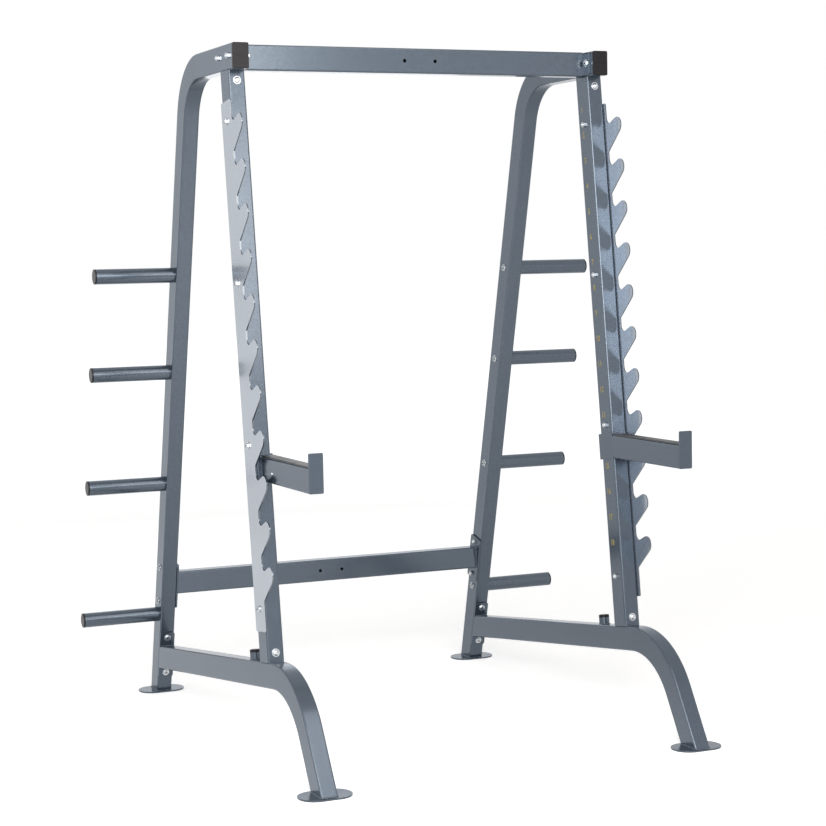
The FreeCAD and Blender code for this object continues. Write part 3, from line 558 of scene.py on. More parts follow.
class HalfRackColours(bpy.types.PropertyGroup):
    paint: FloatVectorProperty(
        name="Paint", description="Blue-grey gloss paint of tubes, plates and arms",
        subtype="COLOR", min=0.0, max=1.0, default=(0.0690, 0.0885, 0.1145))
    hook_silver: FloatVectorProperty(
        name="Hook plates", description="Lighter silver finish of the toothed plates",
        subtype="COLOR", min=0.0, max=1.0, default=(0.305, 0.345, 0.400))
    zinc: FloatVectorProperty(
        name="Zinc", description="Plated bolts, washers and nuts",
        subtype="COLOR", min=0.0, max=1.0, default=(0.55, 0.575, 0.60))
    steel: FloatVectorProperty(
        name="Bare steel", description="Turned pull pins, their knobs and housings",
        subtype="COLOR", min=0.0, max=1.0, default=(0.52, 0.53, 0.54))
    plastic: FloatVectorProperty(
        name="Plastic", description="Moulded end caps and plugs",
        subtype="COLOR", min=0.0, max=1.0, default=(0.009, 0.00765, 0.00928))
    pad: FloatVectorProperty(
        name="Wear strip", description="Strip on top of the spotter arms",
        subtype="COLOR", min=0.0, max=1.0, default=(0.03, 0.032, 0.036))
    numbers: FloatVectorProperty(
        name="Numbers", description="Printed height numbers on the uprights",
        subtype="COLOR", min=0.0, max=1.0, default=(0.30, 0.24, 0.08))


class HalfRackSizes(bpy.types.PropertyGroup):
    plate_edge: FloatProperty(
        name="Plate edge", description="Rounding along the edges of cut plates",
        subtype="DISTANCE", unit="LENGTH", min=0.0001, max=0.002, default=0.0007)
    head_radius: FloatProperty(
        name="Bolt head", description="Radius over the corners of a bolt head",
        subtype="DISTANCE", unit="LENGTH", min=0.005, max=0.012, default=0.0088)
    head_height: FloatProperty(
        name="Head height", description="Height of a bolt head with its washer",
        subtype="DISTANCE", unit="LENGTH", min=0.003, max=0.008, default=0.006)
    washer_radius: FloatProperty(
        name="Washer", description="Radius of the washer face under a bolt head",
        subtype="DISTANCE", unit="LENGTH", min=0.006, max=0.014, default=0.0116)
    weld_width: FloatProperty(
        name="Weld width", description="Width of the weld beads",
        subtype="DISTANCE", unit="LENGTH", min=0.002, max=0.008, default=0.0058)
    number_height: FloatProperty(
        name="Number height", description="Height of the printed numbers",
        subtype="DISTANCE", unit="LENGTH", min=0.005, max=0.03, default=0.018)
    number_count: IntProperty(
        name="Numbers", description="How many heights are numbered",
        min=1, max=18, default=18)
    knob_grips: IntProperty(
        name="Knob grips", description="Grooves round the pull pin knob",
        min=6, max=40, default=20)


def sizes():
    return bpy.context.scene.half_rack_sizes


# Tubes, plates and caps

class HALFRACK_OT_tubes(bpy.types.Operator):
    """Paint the bent side frames, the uprights, the crossbars and the hidden spigots"""
    bl_idname = "half_rack.tubes"
    bl_label = "Tubes and crossbars"
    bl_options = {"REGISTER", "UNDO"}

    def execute(self, context):
        paint_node("top_crossbar")
        paint_node("rear_crossbar")
        for side, _ in SIDES:
            for part in ("rear_frame_tube_", "lower_frame_tube_", "front_upright_",
                         "upper_spigot_", "lower_spigot_"):
                paint_node(part + side)
        return {"FINISHED"}


class HALFRACK_OT_hook_plates(bpy.types.Operator):
    """Model the toothed plates that take the bar, with softened cut edges"""
    bl_idname = "half_rack.hook_plates"
    bl_label = "Hook plates"
    bl_options = {"REGISTER", "UNDO"}

    def execute(self, context):
        for side, _ in SIDES:
            dress("hook_plate_" + side, "toothed_plate_" + side, "frame", hook_silver(),
                  "hook_steel", sizes().plate_edge)
        return {"FINISHED"}


class HALFRACK_OT_flanges(bpy.types.Operator):
    """Model the bolted flanges of the crossbars and lower beams and the foot plates"""
    bl_idname = "half_rack.flanges"
    bl_label = "Flanges and foot plates"
    bl_options = {"REGISTER", "UNDO"}

    def execute(self, context):
        for side, _ in SIDES:
            for part in ("lower_beam_flange_", "top_crossbar_flange_",
                         "rear_crossbar_flange_", "front_foot_plate_", "rear_foot_plate_"):
                dress(part + side, "dressed_" + part + side, "frame", rack_paint(), "paint",
                      sizes().plate_edge)
        return {"FINISHED"}


# The beam cap: a plate with round corners, a rounded front edge and a groove across its
# middle, and a hollow plug behind it. Nothing here touches the tube's inside.
CAP_THICK = 0.005
CAP_CORNER = 0.005
CAP_ROUNDING = 0.0014
CAP_INSET = 0.0001
NEAR_RIM = 0.9985
GROOVE_HALF = 0.0009
GROOVE_DEEP = 0.0005
PLUG_GAP = 0.0035
PLUG_END = 0.022
PLUG_WALL = 0.003
PLUG_HOLLOW = 0.014
PLUG_EDGE = 0.001


def cap_plate():
    plate = block((-HALF_WIDE, 0.0, -HALF_DEEP), (HALF_WIDE, CAP_THICK, HALF_DEEP))
    edit("EDGE")
    pick("edges", lambda e: abs((e.verts[0].co - e.verts[1].co).y) > CAP_THICK * 0.9)
    bpy.ops.mesh.bevel(offset=CAP_CORNER, segments=6)
    bpy.ops.mesh.select_mode(type="FACE")
    pick("faces", lambda f: f.normal.y < -0.9)
    bpy.ops.mesh.inset(thickness=CAP_INSET)
    bpy.ops.mesh.select_mode(type="EDGE")
    pick("edges", lambda e: all(v.co.y < 1e-5 for v in e.verts) and max(
        abs(middle(e).x) / HALF_WIDE, abs(middle(e).z) / HALF_DEEP) > NEAR_RIM)
    bpy.ops.mesh.bevel(offset=CAP_ROUNDING, segments=4)
    for level in (GROOVE_HALF, -GROOVE_HALF):
        pick_all()
        bpy.ops.mesh.bisect(plane_co=(0, 0, level), plane_no=(0, 0, 1))
    bpy.ops.mesh.select_mode(type="FACE")
    pick("faces", lambda f: f.normal.y < -0.9 and abs(middle(f).z) < GROOVE_HALF * 0.89)
    extrude(0, GROOVE_DEEP, 0)
    done()
    smooth(plate)
    return plate


def cap_plug():
    wide, deep = HALF_WIDE - PLUG_GAP, HALF_DEEP - PLUG_GAP
    plug = block((-wide, CAP_THICK - 0.0001, -deep), (wide, PLUG_END, deep))
    edit()
    pick("faces", lambda f: f.normal.y > 0.9)
    bpy.ops.mesh.inset(thickness=PLUG_WALL)
    extrude(0, -PLUG_HOLLOW, 0)
    done()
    soften(plug, PLUG_EDGE)
    return plug


class HALFRACK_OT_beam_caps(bpy.types.Operator):
    """Model the moulded caps in the front ends of the side beams"""
    bl_idname = "half_rack.beam_caps"
    bl_label = "Beam caps"
    bl_options = {"REGISTER", "UNDO"}

    def execute(self, context):
        whole = join([cap_plate(), cap_plug()])
        for side, sign in SIDES:
            where = Matrix.Translation((SIDE_CENTRE * sign, BEAM_FRONT, BEAM_MIDDLE))
            hand_over(copy_at(whole, where), "end_cap_" + side, "frame", black_moulding(),
                      "black_plastic", "beam_cap_" + side)
        remove(whole)
        return {"FINISHED"}


# Round caps: the bore that the plug fills, the plug's length and the head's rings,
# each a radius and a height over the tube's end.
PEG_CAP = (0.0206, 0.014, ((0.0225, 0.0), (0.0225, 0.0015), (0.024, 0.0015), (0.024, 0.0030),
                           (0.0237, 0.0038), (0.0228, 0.0044), (0.0210, 0.0048),
                           (0.017, 0.00495), (0.010, 0.005)))
STUB_CAP = (0.0131, 0.012, ((0.0165, 0.0), (0.0165, 0.0055), (0.0162, 0.0071),
                            (0.0152, 0.0081), (0.0136, 0.0087), (0.009, 0.009)))


def round_cap(sides, bore, plug, rings):
    cap = cylinder(bore, -plug, 0.0, sides)
    edit()
    pick_end()
    turn_profile(bore, 0.0, rings)
    close_up()
    smooth(cap, 35.0)
    return cap


class HALFRACK_OT_weight_pegs(bpy.types.Operator):
    """Paint the weight pegs and model the domed caps in their ends"""
    bl_idname = "half_rack.weight_pegs"
    bl_label = "Weight pegs"
    bl_options = {"REGISTER", "UNDO"}

    def execute(self, context):
        cap = round_cap(48, *PEG_CAP)
        caps = []
        for side, sign in SIDES:
            for number, along in enumerate(PEGS, 1):
                paint_node("weight_peg_%s_%d" % (side, number))
                where = leg_frame((OUTER_FACE + PEG_LONG) * sign, along) @ facing((sign, 0, 0))
                caps.append(copy_at(cap, where))
        remove(cap)
        hand_over(join(caps), "peg_end_caps", "frame", black_moulding(), "black_plastic",
                  "weight_peg_caps")
        return {"FINISHED"}


class HALFRACK_OT_band_stubs(bpy.types.Operator):
    """Paint the short stubs behind the uprights and model their plugs"""
    bl_idname = "half_rack.band_stubs"
    bl_label = "Band stubs"
    bl_options = {"REGISTER", "UNDO"}

    def execute(self, context):
        plug = round_cap(40, *STUB_CAP)
        for side, sign in SIDES:
            paint_node("band_stub_" + side)
            where = upright_frame(SIDE_CENTRE * sign, BEAM_ALONG + STUB_LONG, -STUB_BEHIND)
            hand_over(copy_at(plug, where), "stub_end_plug_" + side, "frame",
                      black_moulding(), "black_plastic", "band_stub_plug_" + side)
        remove(plug)
        return {"FINISHED"}


# Fasteners. Each is drawn with its seat in the plane z = 0.

SHANK_RADIUS = 0.005
SHANK_ROOT = 0.001
SHANK_CHAMFER = 0.001
THREAD_PITCH = 0.0015
THREAD_CORE = 0.87
THREAD_LONG = 0.012
PAST_FAR_FACE = 0.0108
PEG_BOLT_LONG = 0.068
FACE_BOLT_LONG = 0.022
FACE_THREAD = 0.006
HEAD_ROOT = 0.0014
HEAD_CHAMFER = 0.0012
HEAD_RIM = 0.0016
HEAD_DISH = 0.0004
HEAD_FACE_AREA = 5e-5
WASHER_THICK = 0.0015
WASHER_EDGE = 0.0004
FLAT_WASHER = 0.002
SOCKET_RADIUS = 0.0032
SOCKET_FLOOR = 0.0024
DOME_START = (0.0088, 0.0012)
DOME = ((0.0086, 0.0026), (0.0079, 0.0040), (0.0067, 0.0051), (0.0050, 0.0058), (0.0038, 0.006))


def hex_body(radius, low, high, chamfer, both_ends=False):
    """Hexagonal block with its corners turned down to a round chamfer."""
    shape = cylinder(radius, low, high, 6)
    below = 0.0 if both_ends else 0.002
    blank = cylinder(radius * 1.002, low - below, high, 48)
    edit("EDGE")
    ends = (low, high) if both_ends else (high,)
    pick("edges", lambda e: any(all(abs(v.co.z - end) < 1e-6 for v in e.verts)
                                for end in ends))
    bpy.ops.mesh.bevel(offset=chamfer, segments=2, profile=0.4)
    done()
    use_tool(shape, blank, "INTERSECT")
    return shape


def ring(radius, hole, low, high, sides=40, edge=0.0003):
    shape = cylinder(radius, low, high, sides)
    edit()
    pick("faces", lambda f: abs(f.normal.z) > 0.9)
    bpy.ops.mesh.inset(thickness=radius - hole, use_individual=True)
    bpy.ops.mesh.bridge_edge_loops()
    done()
    soften(shape, edge)
    return shape


def threaded_shank(length, thread):
    """Round shank below the seat whose lower end carries thread ridges."""
    start = SHANK_CHAMFER + thread - length
    shape = cylinder(SHANK_RADIUS, start, SHANK_ROOT, 24)
    turns = max(2, int(thread / THREAD_PITCH))
    pitch = thread / turns
    rings = []
    for turn in range(turns):
        rings.append((SHANK_RADIUS * THREAD_CORE, start - pitch * (turn + 0.5)))
        rings.append((SHANK_RADIUS, start - pitch * (turn + 1)))
    rings.append((SHANK_RADIUS * 0.8, -length))
    edit()
    pick_end(-1.0)
    turn_profile(SHANK_RADIUS, start, rings)
    close_up()
    smooth(shape, 30.0)
    return shape


def hex_bolt(length):
    """Hexagon bolt: local z points out of the seat, the shank runs down."""
    head = hex_body(sizes().head_radius, HEAD_ROOT, sizes().head_height, HEAD_CHAMFER)
    edit()
    pick("faces", lambda f: f.normal.z > 0.98 and f.calc_area() > HEAD_FACE_AREA)
    bpy.ops.mesh.inset(thickness=HEAD_RIM)
    extrude(0, 0, -HEAD_DISH)
    done()
    smooth(head, 25.0)
    washer = cylinder(sizes().washer_radius, 0.0, WASHER_THICK, 40)
    soften(washer, WASHER_EDGE)
    return join([head, washer, threaded_shank(length, THREAD_LONG)])


def dome_bolt(length):
    """Low domed bolt with a hexagon socket."""
    radius, height = DOME_START
    head = cylinder(radius, 0.0, height, 40)
    edit()
    pick_end()
    turn_profile(radius, height, DOME)
    close_up()
    use_tool(head, cylinder(SOCKET_RADIUS, SOCKET_FLOOR, 0.009, 6), "DIFFERENCE")
    smooth(head, 35.0)
    return join([head, threaded_shank(length, FACE_THREAD)])


def lock_nut():
    """Hexagon nut with a rounded collar; local z points away from the seat."""
    body = hex_body(0.009, 0.0, 0.0058, 0.0009, both_ends=True)
    smooth(body, 25.0)
    collar = ring(0.0076, 0.0055, 0.0056, 0.008, 36, 0.0009)
    return join([body, collar])


class HALFRACK_OT_fasteners(bpy.types.Operator):
    """Model the bolts, washers and nuts and set them in their holes"""
    bl_idname = "half_rack.fasteners"
    bl_label = "Bolts, washers and nuts"
    bl_options = {"REGISTER", "UNDO"}

    def execute(self, context):
        out = facing((0, -1, 0))
        back = facing((0, 1, 0))
        wide_bolt = hex_bolt(HALF_WIDE * 2 + PLATE + PAST_FAR_FACE)
        plate_bolt = hex_bolt(HALF_WIDE * 2 + HOOK_PLATE + PAST_FAR_FACE)
        deep_bolt = hex_bolt(HALF_DEEP * 2 + PLATE + PAST_FAR_FACE)
        peg_bolt = hex_bolt(PEG_BOLT_LONG)
        face_bolt = dome_bolt(FACE_BOLT_LONG)
        nut = lock_nut()
        washer = ring(0.012, 0.0054, 0.0, FLAT_WASHER)
        groups = {}

        def put(group, source, where):
            groups.setdefault(group, []).append(copy_at(source, where))

        for _, sign in SIDES:
            outward = facing((sign, 0, 0))
            inward = facing((-sign, 0, 0))
            middle_x = SIDE_CENTRE * sign
            outer, inner = OUTER_FACE * sign, INNER_FACE * sign
            for along in PLATE_BOLTS:
                seat = upright_frame(outer + HOOK_PLATE * sign, along)
                put("hook_plate_bolts", plate_bolt, seat @ outward)
                put("hook_plate_nuts", nut, upright_frame(inner, along) @ inward)
            for along in UPRIGHT_BOLTS:
                put("upright_washers", washer, upright_frame(middle_x, along, HALF_DEEP) @ out)
                put("upright_bolts", face_bolt,
                    upright_frame(middle_x, along, HALF_DEEP + FLAT_WASHER) @ out)
            for along in LOW_BOLTS:
                put("lower_flange_bolts", deep_bolt,
                    leg_frame(middle_x, along, -HALF_DEEP - PLATE) @ out)
                put("flange_nuts", nut, leg_frame(middle_x, along, HALF_DEEP) @ back)
            for y in TOP_BOLTS:
                seat = Matrix.Translation((inner - PLATE * sign, y, TOP_BOLT_HEIGHT))
                far = Matrix.Translation((outer, y, TOP_BOLT_HEIGHT))
                put("top_flange_bolts", wide_bolt, seat @ inward)
                put("flange_nuts", nut, far @ outward)
            for along in REAR_BOLTS:
                put("rear_flange_bolts", wide_bolt, leg_frame(outer, along) @ outward)
                put("flange_nuts", nut, leg_frame(inner - PLATE * sign, along) @ inward)
            for along in PEGS:
                put("weight_peg_bolts", peg_bolt, leg_frame(inner, along) @ inward)
        remove(wide_bolt, plate_bolt, deep_bolt, peg_bolt, face_bolt, nut, washer)
        for group, items in groups.items():
            hand_over(join(items), "set_" + group, "frame", bright_zinc(), "zinc", group)
        return {"FINISHED"}


# Spotter arms and their pull pins

SLEEVE_EDGE = 0.0009
STRIP_EDGE = 0.0006
HOUSING_EDGE = 0.0005
BUTTON_Y = -0.4552
BUTTON_HEIGHT = 0.8559
BUTTON_SIZE = 0.52
PIN_RADIUS = 0.006
PIN_REACH = 0.016
PIN_TAPER = 0.0015
KNOB_RADIUS = 0.013
KNOB_LONG = 0.016
KNOB_GAP = 0.0005
KNOB_RIM = 0.0022
KNOB_DISH = 0.0008


class HALFRACK_OT_spotter_arms(bpy.types.Operator):
    """Paint the arms and model their sleeves, end lips, wear strips and side buttons"""
    bl_idname = "half_rack.spotter_arms"
    bl_label = "Spotter arms"
    bl_options = {"REGISTER", "UNDO"}

    def execute(self, context):
        button = dome_bolt(0.006)
        for side, sign in SIDES:
            body = "arm_" + side
            paint_node("spotter_arm_" + side)
            dress("arm_sleeve_" + side, "folded_sleeve_" + side, body, rack_paint(), "paint",
                  SLEEVE_EDGE, 3)
            dress("arm_lip_" + side, "end_lip_" + side, body, rack_paint(), "paint",
                  sizes().plate_edge)
            dress("arm_pad_" + side, "top_strip_" + side, body, wear_strip(), "wear_pad",
                  STRIP_EDGE)
            where = Matrix.Translation((ARM_OUTER * sign, BUTTON_Y, BUTTON_HEIGHT))
            where = where @ facing((sign, 0, 0)) @ Matrix.Scale(BUTTON_SIZE, 4)
            hand_over(copy_at(button, where), "side_button_" + side, body, bright_zinc(),
                      "zinc")
        remove(button)
        return {"FINISHED"}


def knurled_pin():
    """Round pin with a gripped knob; local z points out of the sleeve."""
    tip, low = -PIN_REACH, BARREL_LONG + KNOB_GAP
    high = low + KNOB_LONG
    pin = cylinder(PIN_RADIUS, tip + PIN_TAPER, low + 0.001, 40)
    edit()
    pick_end(-1.0)
    turn_profile(PIN_RADIUS, tip + PIN_TAPER, ((PIN_RADIUS - PIN_TAPER, tip),))
    done()
    soften(pin, 0.0003, angle=20.0)
    grips = sizes().knob_grips
    knob = cylinder(KNOB_RADIUS, low + 0.002, high - 0.003, grips * 2)
    edit()
    for toward, level, taper in ((-1.0, low, 0.002), (1.0, high, 0.003)):
        pick_end(toward)
        turn_profile(KNOB_RADIUS, level - taper * toward, ((KNOB_RADIUS - taper, level),))
    bpy.ops.mesh.inset(thickness=KNOB_RIM)
    extrude(0, 0, -KNOB_DISH)
    step = math.pi / grips
    pick("faces", lambda f: abs(f.normal.z) < 0.1
         and middle(f).xy.length > KNOB_RADIUS * 0.9
         and math.floor(math.atan2(middle(f).y, middle(f).x) / step) % 2 == 0)
    bpy.ops.mesh.inset(thickness=0.0003, depth=-0.0007, use_individual=True)
    done()
    soften(knob, 0.00015, 1, 50.0)
    return join([pin, knob])


class HALFRACK_OT_pull_pins(bpy.types.Operator):
    """Model the spring pull pins, their housings and knurled knobs"""
    bl_idname = "half_rack.pull_pins"
    bl_label = "Pull pins"
    bl_options = {"REGISTER", "UNDO"}

    def execute(self, context):
        shape = knurled_pin()
        for side, sign in SIDES:
            dress("pin_housing_" + side, "pin_barrel_" + side, "arm_" + side, turned_steel(),
                  "plain_steel", HOUSING_EDGE)
            where = upright_frame(SIDE_CENTRE * sign, PIN_ALONG, -SLEEVE_OUT)
            pin = copy_at(shape, where @ facing((0, 1, 0)))
            hand_over(pin, "spring_pin_" + side, "pin_" + side, turned_steel(), "plain_steel",
                      "pull_pin_" + side)
        remove(shape)
        return {"FINISHED"}


# Welds

SEAM_CORNER = 0.005
TOP_SEAM_HALF = 0.034
LOW_SEAM_HALF = 0.021
RIPPLE_SPACING = 0.6
RIPPLE_LONG = 0.85
RIPPLE_HIGH = 0.62


def weld_bead():
    """One ripple of a weld: a flattened drop with its buried half cut away."""
    bpy.ops.mesh.primitive_uv_sphere_add(segments=10, ring_count=6)
    bead = bpy.context.object
    edit()
    pick_all()
    bpy.ops.mesh.bisect(plane_co=(0, 0, -0.3), plane_no=(0, 0, 1), use_fill=True,
                        clear_inner=True)
    pick_all()
    half = sizes().weld_width / 2
    bpy.ops.transform.resize(value=(half, half * RIPPLE_LONG, half * RIPPLE_HIGH),
                             center_override=(0, 0, 0))
    done()
    smooth(bead, 60.0)
    return bead


def weld_run(bead, places):
    """A run of ripples; each place has a point, a direction and an outward side."""
    ripples = []
    for point, along, out in places:
        along, out = Vector(along).normalized(), Vector(out).normalized()
        turn = Matrix((along.cross(out), along, out)).transposed().to_4x4()
        ripple = own_copy(bead)
        ripple.matrix_world = Matrix.Translation(point) @ turn
        ripples.append(ripple)
    whole = join(ripples)
    settle()
    return whole


def ripple_count(length):
    return round(length / (sizes().weld_width * RIPPLE_SPACING))


def straight(start, end, out):
    """Places of ripples along a straight seam."""
    start, end = Vector(start), Vector(end)
    count = max(2, ripple_count((end - start).length))
    return [(start.lerp(end, (k + 0.5) / count), end - start, out) for k in range(count)]


def round_place(centre, radius, angle):
    """Place of a ripple on a circle in the plane z = 0."""
    out = Vector((math.cos(angle), math.sin(angle), 0))
    return (centre + out * radius, (-out.y, out.x, 0), (out.x, out.y, 1))


def round_seam(radius):
    """Places of ripples round a circle in the plane z = 0."""
    count = ripple_count(2 * math.pi * radius)
    return [round_place(Vector(), radius, 2 * math.pi * k / count) for k in range(count)]


def round_box(half_x, half_y):
    """Places of ripples round a tube that stands on the plane z = 0."""
    places = []
    inner_x, inner_y = half_x - SEAM_CORNER, half_y - SEAM_CORNER
    for side_x, side_y in ((1, 0), (0, 1), (-1, 0), (0, -1)):
        start = (half_x * side_x + inner_x * side_y, half_y * side_y - inner_y * side_x, 0)
        end = (half_x * side_x - inner_x * side_y, half_y * side_y + inner_y * side_x, 0)
        places += straight(start, end, (side_x, side_y, 1))
        turn = math.atan2(side_y, side_x)
        centre = Vector((inner_x * (side_x - side_y), inner_y * (side_x + side_y), 0))
        places += [round_place(centre, SEAM_CORNER, turn + math.radians(degrees))
                   for degrees in (15, 45, 75)]
    return places


def low_beam_seam(x):
    """Where the lower beam's axis meets the front of its flange; local z points forward."""
    start = upright_frame(x, BEAM_ALONG - HALF_DEEP).translation
    run = Vector((0, math.cos(UPRIGHT_LEAN), -math.sin(UPRIGHT_LEAN)))
    plane = leg_frame(x, 0.0, -HALF_DEEP - PLATE).translation
    normal = Vector((0, -math.cos(REAR_LEAN), -math.sin(REAR_LEAN)))
    up = Vector((0, -math.sin(REAR_LEAN), math.cos(REAR_LEAN)))
    where = start + run * ((plane - start).dot(normal) / run.dot(normal))
    turn = Matrix((up.cross(normal), up, normal)).transposed().to_4x4()
    return Matrix.Translation(where) @ turn


def arm_seam(sign):
    """Places of ripples where the arm meets the front of its sleeve."""
    point = upright_frame(0.0, PIN_ALONG, SLEEVE_OUT).translation
    normal = Vector((0, -math.cos(UPRIGHT_LEAN), math.sin(UPRIGHT_LEAN)))

    def on_sleeve(x, z):
        return Vector((x * sign, point.y + (z - point.z) * math.tan(UPRIGHT_LEAN), z))

    end_gap = 0.004
    under = straight(on_sleeve(ARM_INNER + end_gap, ARM_BOTTOM),
                     on_sleeve(ARM_OUTER - 0.003, ARM_BOTTOM), normal + Vector((0, 0, -1)))
    outer = straight(on_sleeve(ARM_OUTER, ARM_BOTTOM + end_gap),
                     on_sleeve(ARM_OUTER, ARM_TOP - end_gap), normal + Vector((sign, 0, 0)))
    return under + outer


class HALFRACK_OT_welds(bpy.types.Operator):
    """Lay the weld beads at the crossbars, beams, feet, stubs, arms and pin barrels"""
    bl_idname = "half_rack.welds"
    bl_label = "Weld beads"
    bl_options = {"REGISTER", "UNDO"}

    def execute(self, context):
        bead = weld_bead()
        # each run is drawn in the plane of its plate, local z towards the tube
        top, low = [], []
        beam_half = HALF_DEEP / math.cos(REAR_LEAN + UPRIGHT_LEAN)
        for sign in (-1, 1):
            edge = HALF_WIDE * sign
            top += straight((TOP_SEAM_HALF, edge, 0), (-TOP_SEAM_HALF, edge, 0), (0, sign, 1))
            edge = beam_half * sign
            low += straight((-LOW_SEAM_HALF, edge, 0), (LOW_SEAM_HALF, edge, 0), (0, sign, 1))
        seams = {
            "top_bar": top,
            "rear_bar": round_box(HALF_DEEP, HALF_WIDE),
            "low_beam": low,
            "rear_foot": round_box(HALF_WIDE, HALF_DEEP / math.cos(REAR_LEAN)),
            "front_foot": round_box(HALF_WIDE, HALF_DEEP / math.cos(FRONT_LEAN)),
            "stub": round_seam(STUB_RADIUS),
            "barrel": round_seam(BARREL_RADIUS),
        }
        runs = {kind: weld_run(bead, seam) for kind, seam in seams.items()}
        # where the rear and front legs' axes come out of their foot plates
        rear = REAR_FOOT - FOOT_PLATE * math.tan(REAR_LEAN)
        front = FRONT_FOOT + FOOT_PLATE * math.tan(FRONT_LEAN)
        for side, sign in SIDES:
            seat = (INNER_FACE - PLATE) * sign
            middle_x = SIDE_CENTRE * sign
            inward = Matrix(((0, 0, -sign, 0), (0, sign, 0, 0), (1, 0, 0, 0), (0, 0, 0, 1)))
            spots = {
                "top_bar": Matrix.Translation((seat, TOP_BAR_Y, BEAM_MIDDLE)) @ inward,
                "rear_bar": Matrix.Translation((seat, REAR_BAR_Y, REAR_BAR_HEIGHT)) @ inward,
                "low_beam": low_beam_seam(middle_x),
                "rear_foot": Matrix.Translation((middle_x, rear, FOOT_PLATE)),
                "front_foot": Matrix.Translation((middle_x, front, FOOT_PLATE)),
                "stub": upright_frame(middle_x, BEAM_ALONG, -STUB_BEHIND),
                "barrel": upright_frame(middle_x, PIN_ALONG, -SLEEVE_OUT) @ facing((0, 1, 0)),
            }
            for kind, where in spots.items():
                body = "arm_" + side if kind == "barrel" else "frame"
                hand_over(copy_at(runs[kind], where), "weld_%s_%s" % (kind, side), body,
                          rack_paint(), "paint")
            hand_over(weld_run(bead, arm_seam(sign)), "weld_arm_" + side, "arm_" + side,
                      rack_paint(), "paint")
        remove(bead, *runs.values())
        return {"FINISHED"}


# Height numbers

FIRST_NUMBER = 1.924
NUMBER_PITCH = 0.080
NUMBER_BEHIND = 0.010
NUMBER_SUNK = 0.0001
PRINT_THICK = 0.00006
STROKE_WIDER = 0.0009
TEXT_PER_HEIGHT = 1.4


class HALFRACK_OT_height_numbers(bpy.types.Operator):
    """Print the height numbers on the inner faces of the uprights"""
    bl_idname = "half_rack.height_numbers"
    bl_label = "Height numbers"
    bl_options = {"REGISTER", "UNDO"}

    def execute(self, context):
        for side, sign in SIDES:
            turn = Matrix(((0, 0, -sign, 0), (-sign, 0, 0, 0), (0, 1, 0, 0), (0, 0, 0, 1)))
            marks = []
            for index in range(sizes().number_count):
                bpy.ops.object.text_add()
                text = bpy.context.object.data
                text.body = str(index + 1)
                text.size = sizes().number_height * TEXT_PER_HEIGHT
                text.offset = STROKE_WIDER
                text.align_x = "CENTER"
                text.align_y = "CENTER"
                text.extrude = PRINT_THICK
                text.resolution_u = 3
                bpy.ops.object.convert(target="MESH")
                place = upright_frame((INNER_FACE - NUMBER_SUNK) * sign,
                                      FIRST_NUMBER - NUMBER_PITCH * index, -NUMBER_BEHIND)
                marks.append(move_mesh(bpy.context.object, place @ turn))
            hand_over(join(marks), "height_numbers_" + side, "frame", number_print(), "paint")
        return {"FINISHED"}


# Floor, light and camera

FLOOR_SIZE = 60.0
FLOOR_BELOW = 0.0005
FLOOR_COLOUR = (0.9, 0.9, 0.9, 1.0)
FLOOR_LIFT = 0.57
FAR_FLOOR_LIFT = 0.95
LIFT_FROM = 1.5
LIFT_TO = 9.0
WHITE = (1.0, 1.0, 1.0, 1.0)
WORLD_FILL = 0.17
LAMP_TARGET = Vector((0.0, 0.0, 1.1))
WARM = (1.0, 0.96, 0.91)
NEUTRAL = (1.0, 1.0, 1.0)
# name, place, width, height, watts, colour
SOFT_BOXES = (
    ("front_soft_box", (-0.01, -4.0, 2.52), 1.85, 1.24, 38.5, WARM),
    ("key_soft_box", (-1.68, -4.0, 2.45), 1.45, 1.8, 91.0, WARM),
    ("right_soft_box", (2.45, -4.0, 2.3), 2.7, 1.2, 4.0, NEUTRAL),
    ("low_soft_box", (-0.9, -4.0, 1.2), 2.6, 1.2, 20.0, NEUTRAL),
    ("high_soft_box", (0.3, -3.0, 4.0), 2.6, 2.0, 34.0, WARM),
    ("corner_soft_box", (-3.3, -3.3, 2.2), 2.0, 2.4, 36.0, NEUTRAL),
    ("left_soft_box", (-4.2, -0.6, 2.2), 2.6, 2.4, 24.0, NEUTRAL),
    ("rear_left_soft_box", (-3.4, 3.2, 2.2), 2.6, 2.6, 22.0, NEUTRAL),
    ("rear_soft_box", (0.8, 4.6, 2.4), 3.0, 2.4, 20.0, NEUTRAL),
)
CAMERA_PLACE = (-2.51033, -5.90590, 1.46406)
CAMERA_YAW = 0.4093
CAMERA_PITCH = 0.0957
CAMERA_ROLL = -0.0197
CAMERA_LENS = 89.064
CAMERA_SHIFT = (-0.0066, 0.0469)


def soft_box(name, place, wide, high, power, colour):
    data = bpy.data.lights.new(name, "AREA")
    data.shape = "RECTANGLE"
    data.size = wide
    data.size_y = high
    data.energy = power
    data.color = colour
    lamp = bpy.data.objects.new(name, data)
    lamp.location = place
    lamp.rotation_euler = (LAMP_TARGET - Vector(place)).to_track_quat("-Z", "Y").to_euler()
    bpy.context.scene.collection.objects.link(lamp)


def seen_directly(tree):
    """One for rays that show the background: from the camera, a gloss or through glass."""
    rays = node(tree, "LightPath").outputs
    seen = calc(tree, "MAXIMUM", rays["Is Camera Ray"], rays["Is Glossy Ray"])
    return calc(tree, "MAXIMUM", seen, rays["Is Transmission Ray"])


def light_world(scene):
    """White where it is seen, and a soft even fill for the light itself."""
    world = bpy.data.worlds.new("studio_world")
    scene.world = world
    tree = blank_tree(world)
    glow = node(tree, "Background", in_Color=WHITE)
    strength = remap(tree, seen_directly(tree), 0.0, 1.0, WORLD_FILL, 1.0)
    tree.links.new(strength, glow.inputs["Strength"])
    tree.links.new(glow.outputs[0], node(tree, "OutputWorld").inputs["Surface"])


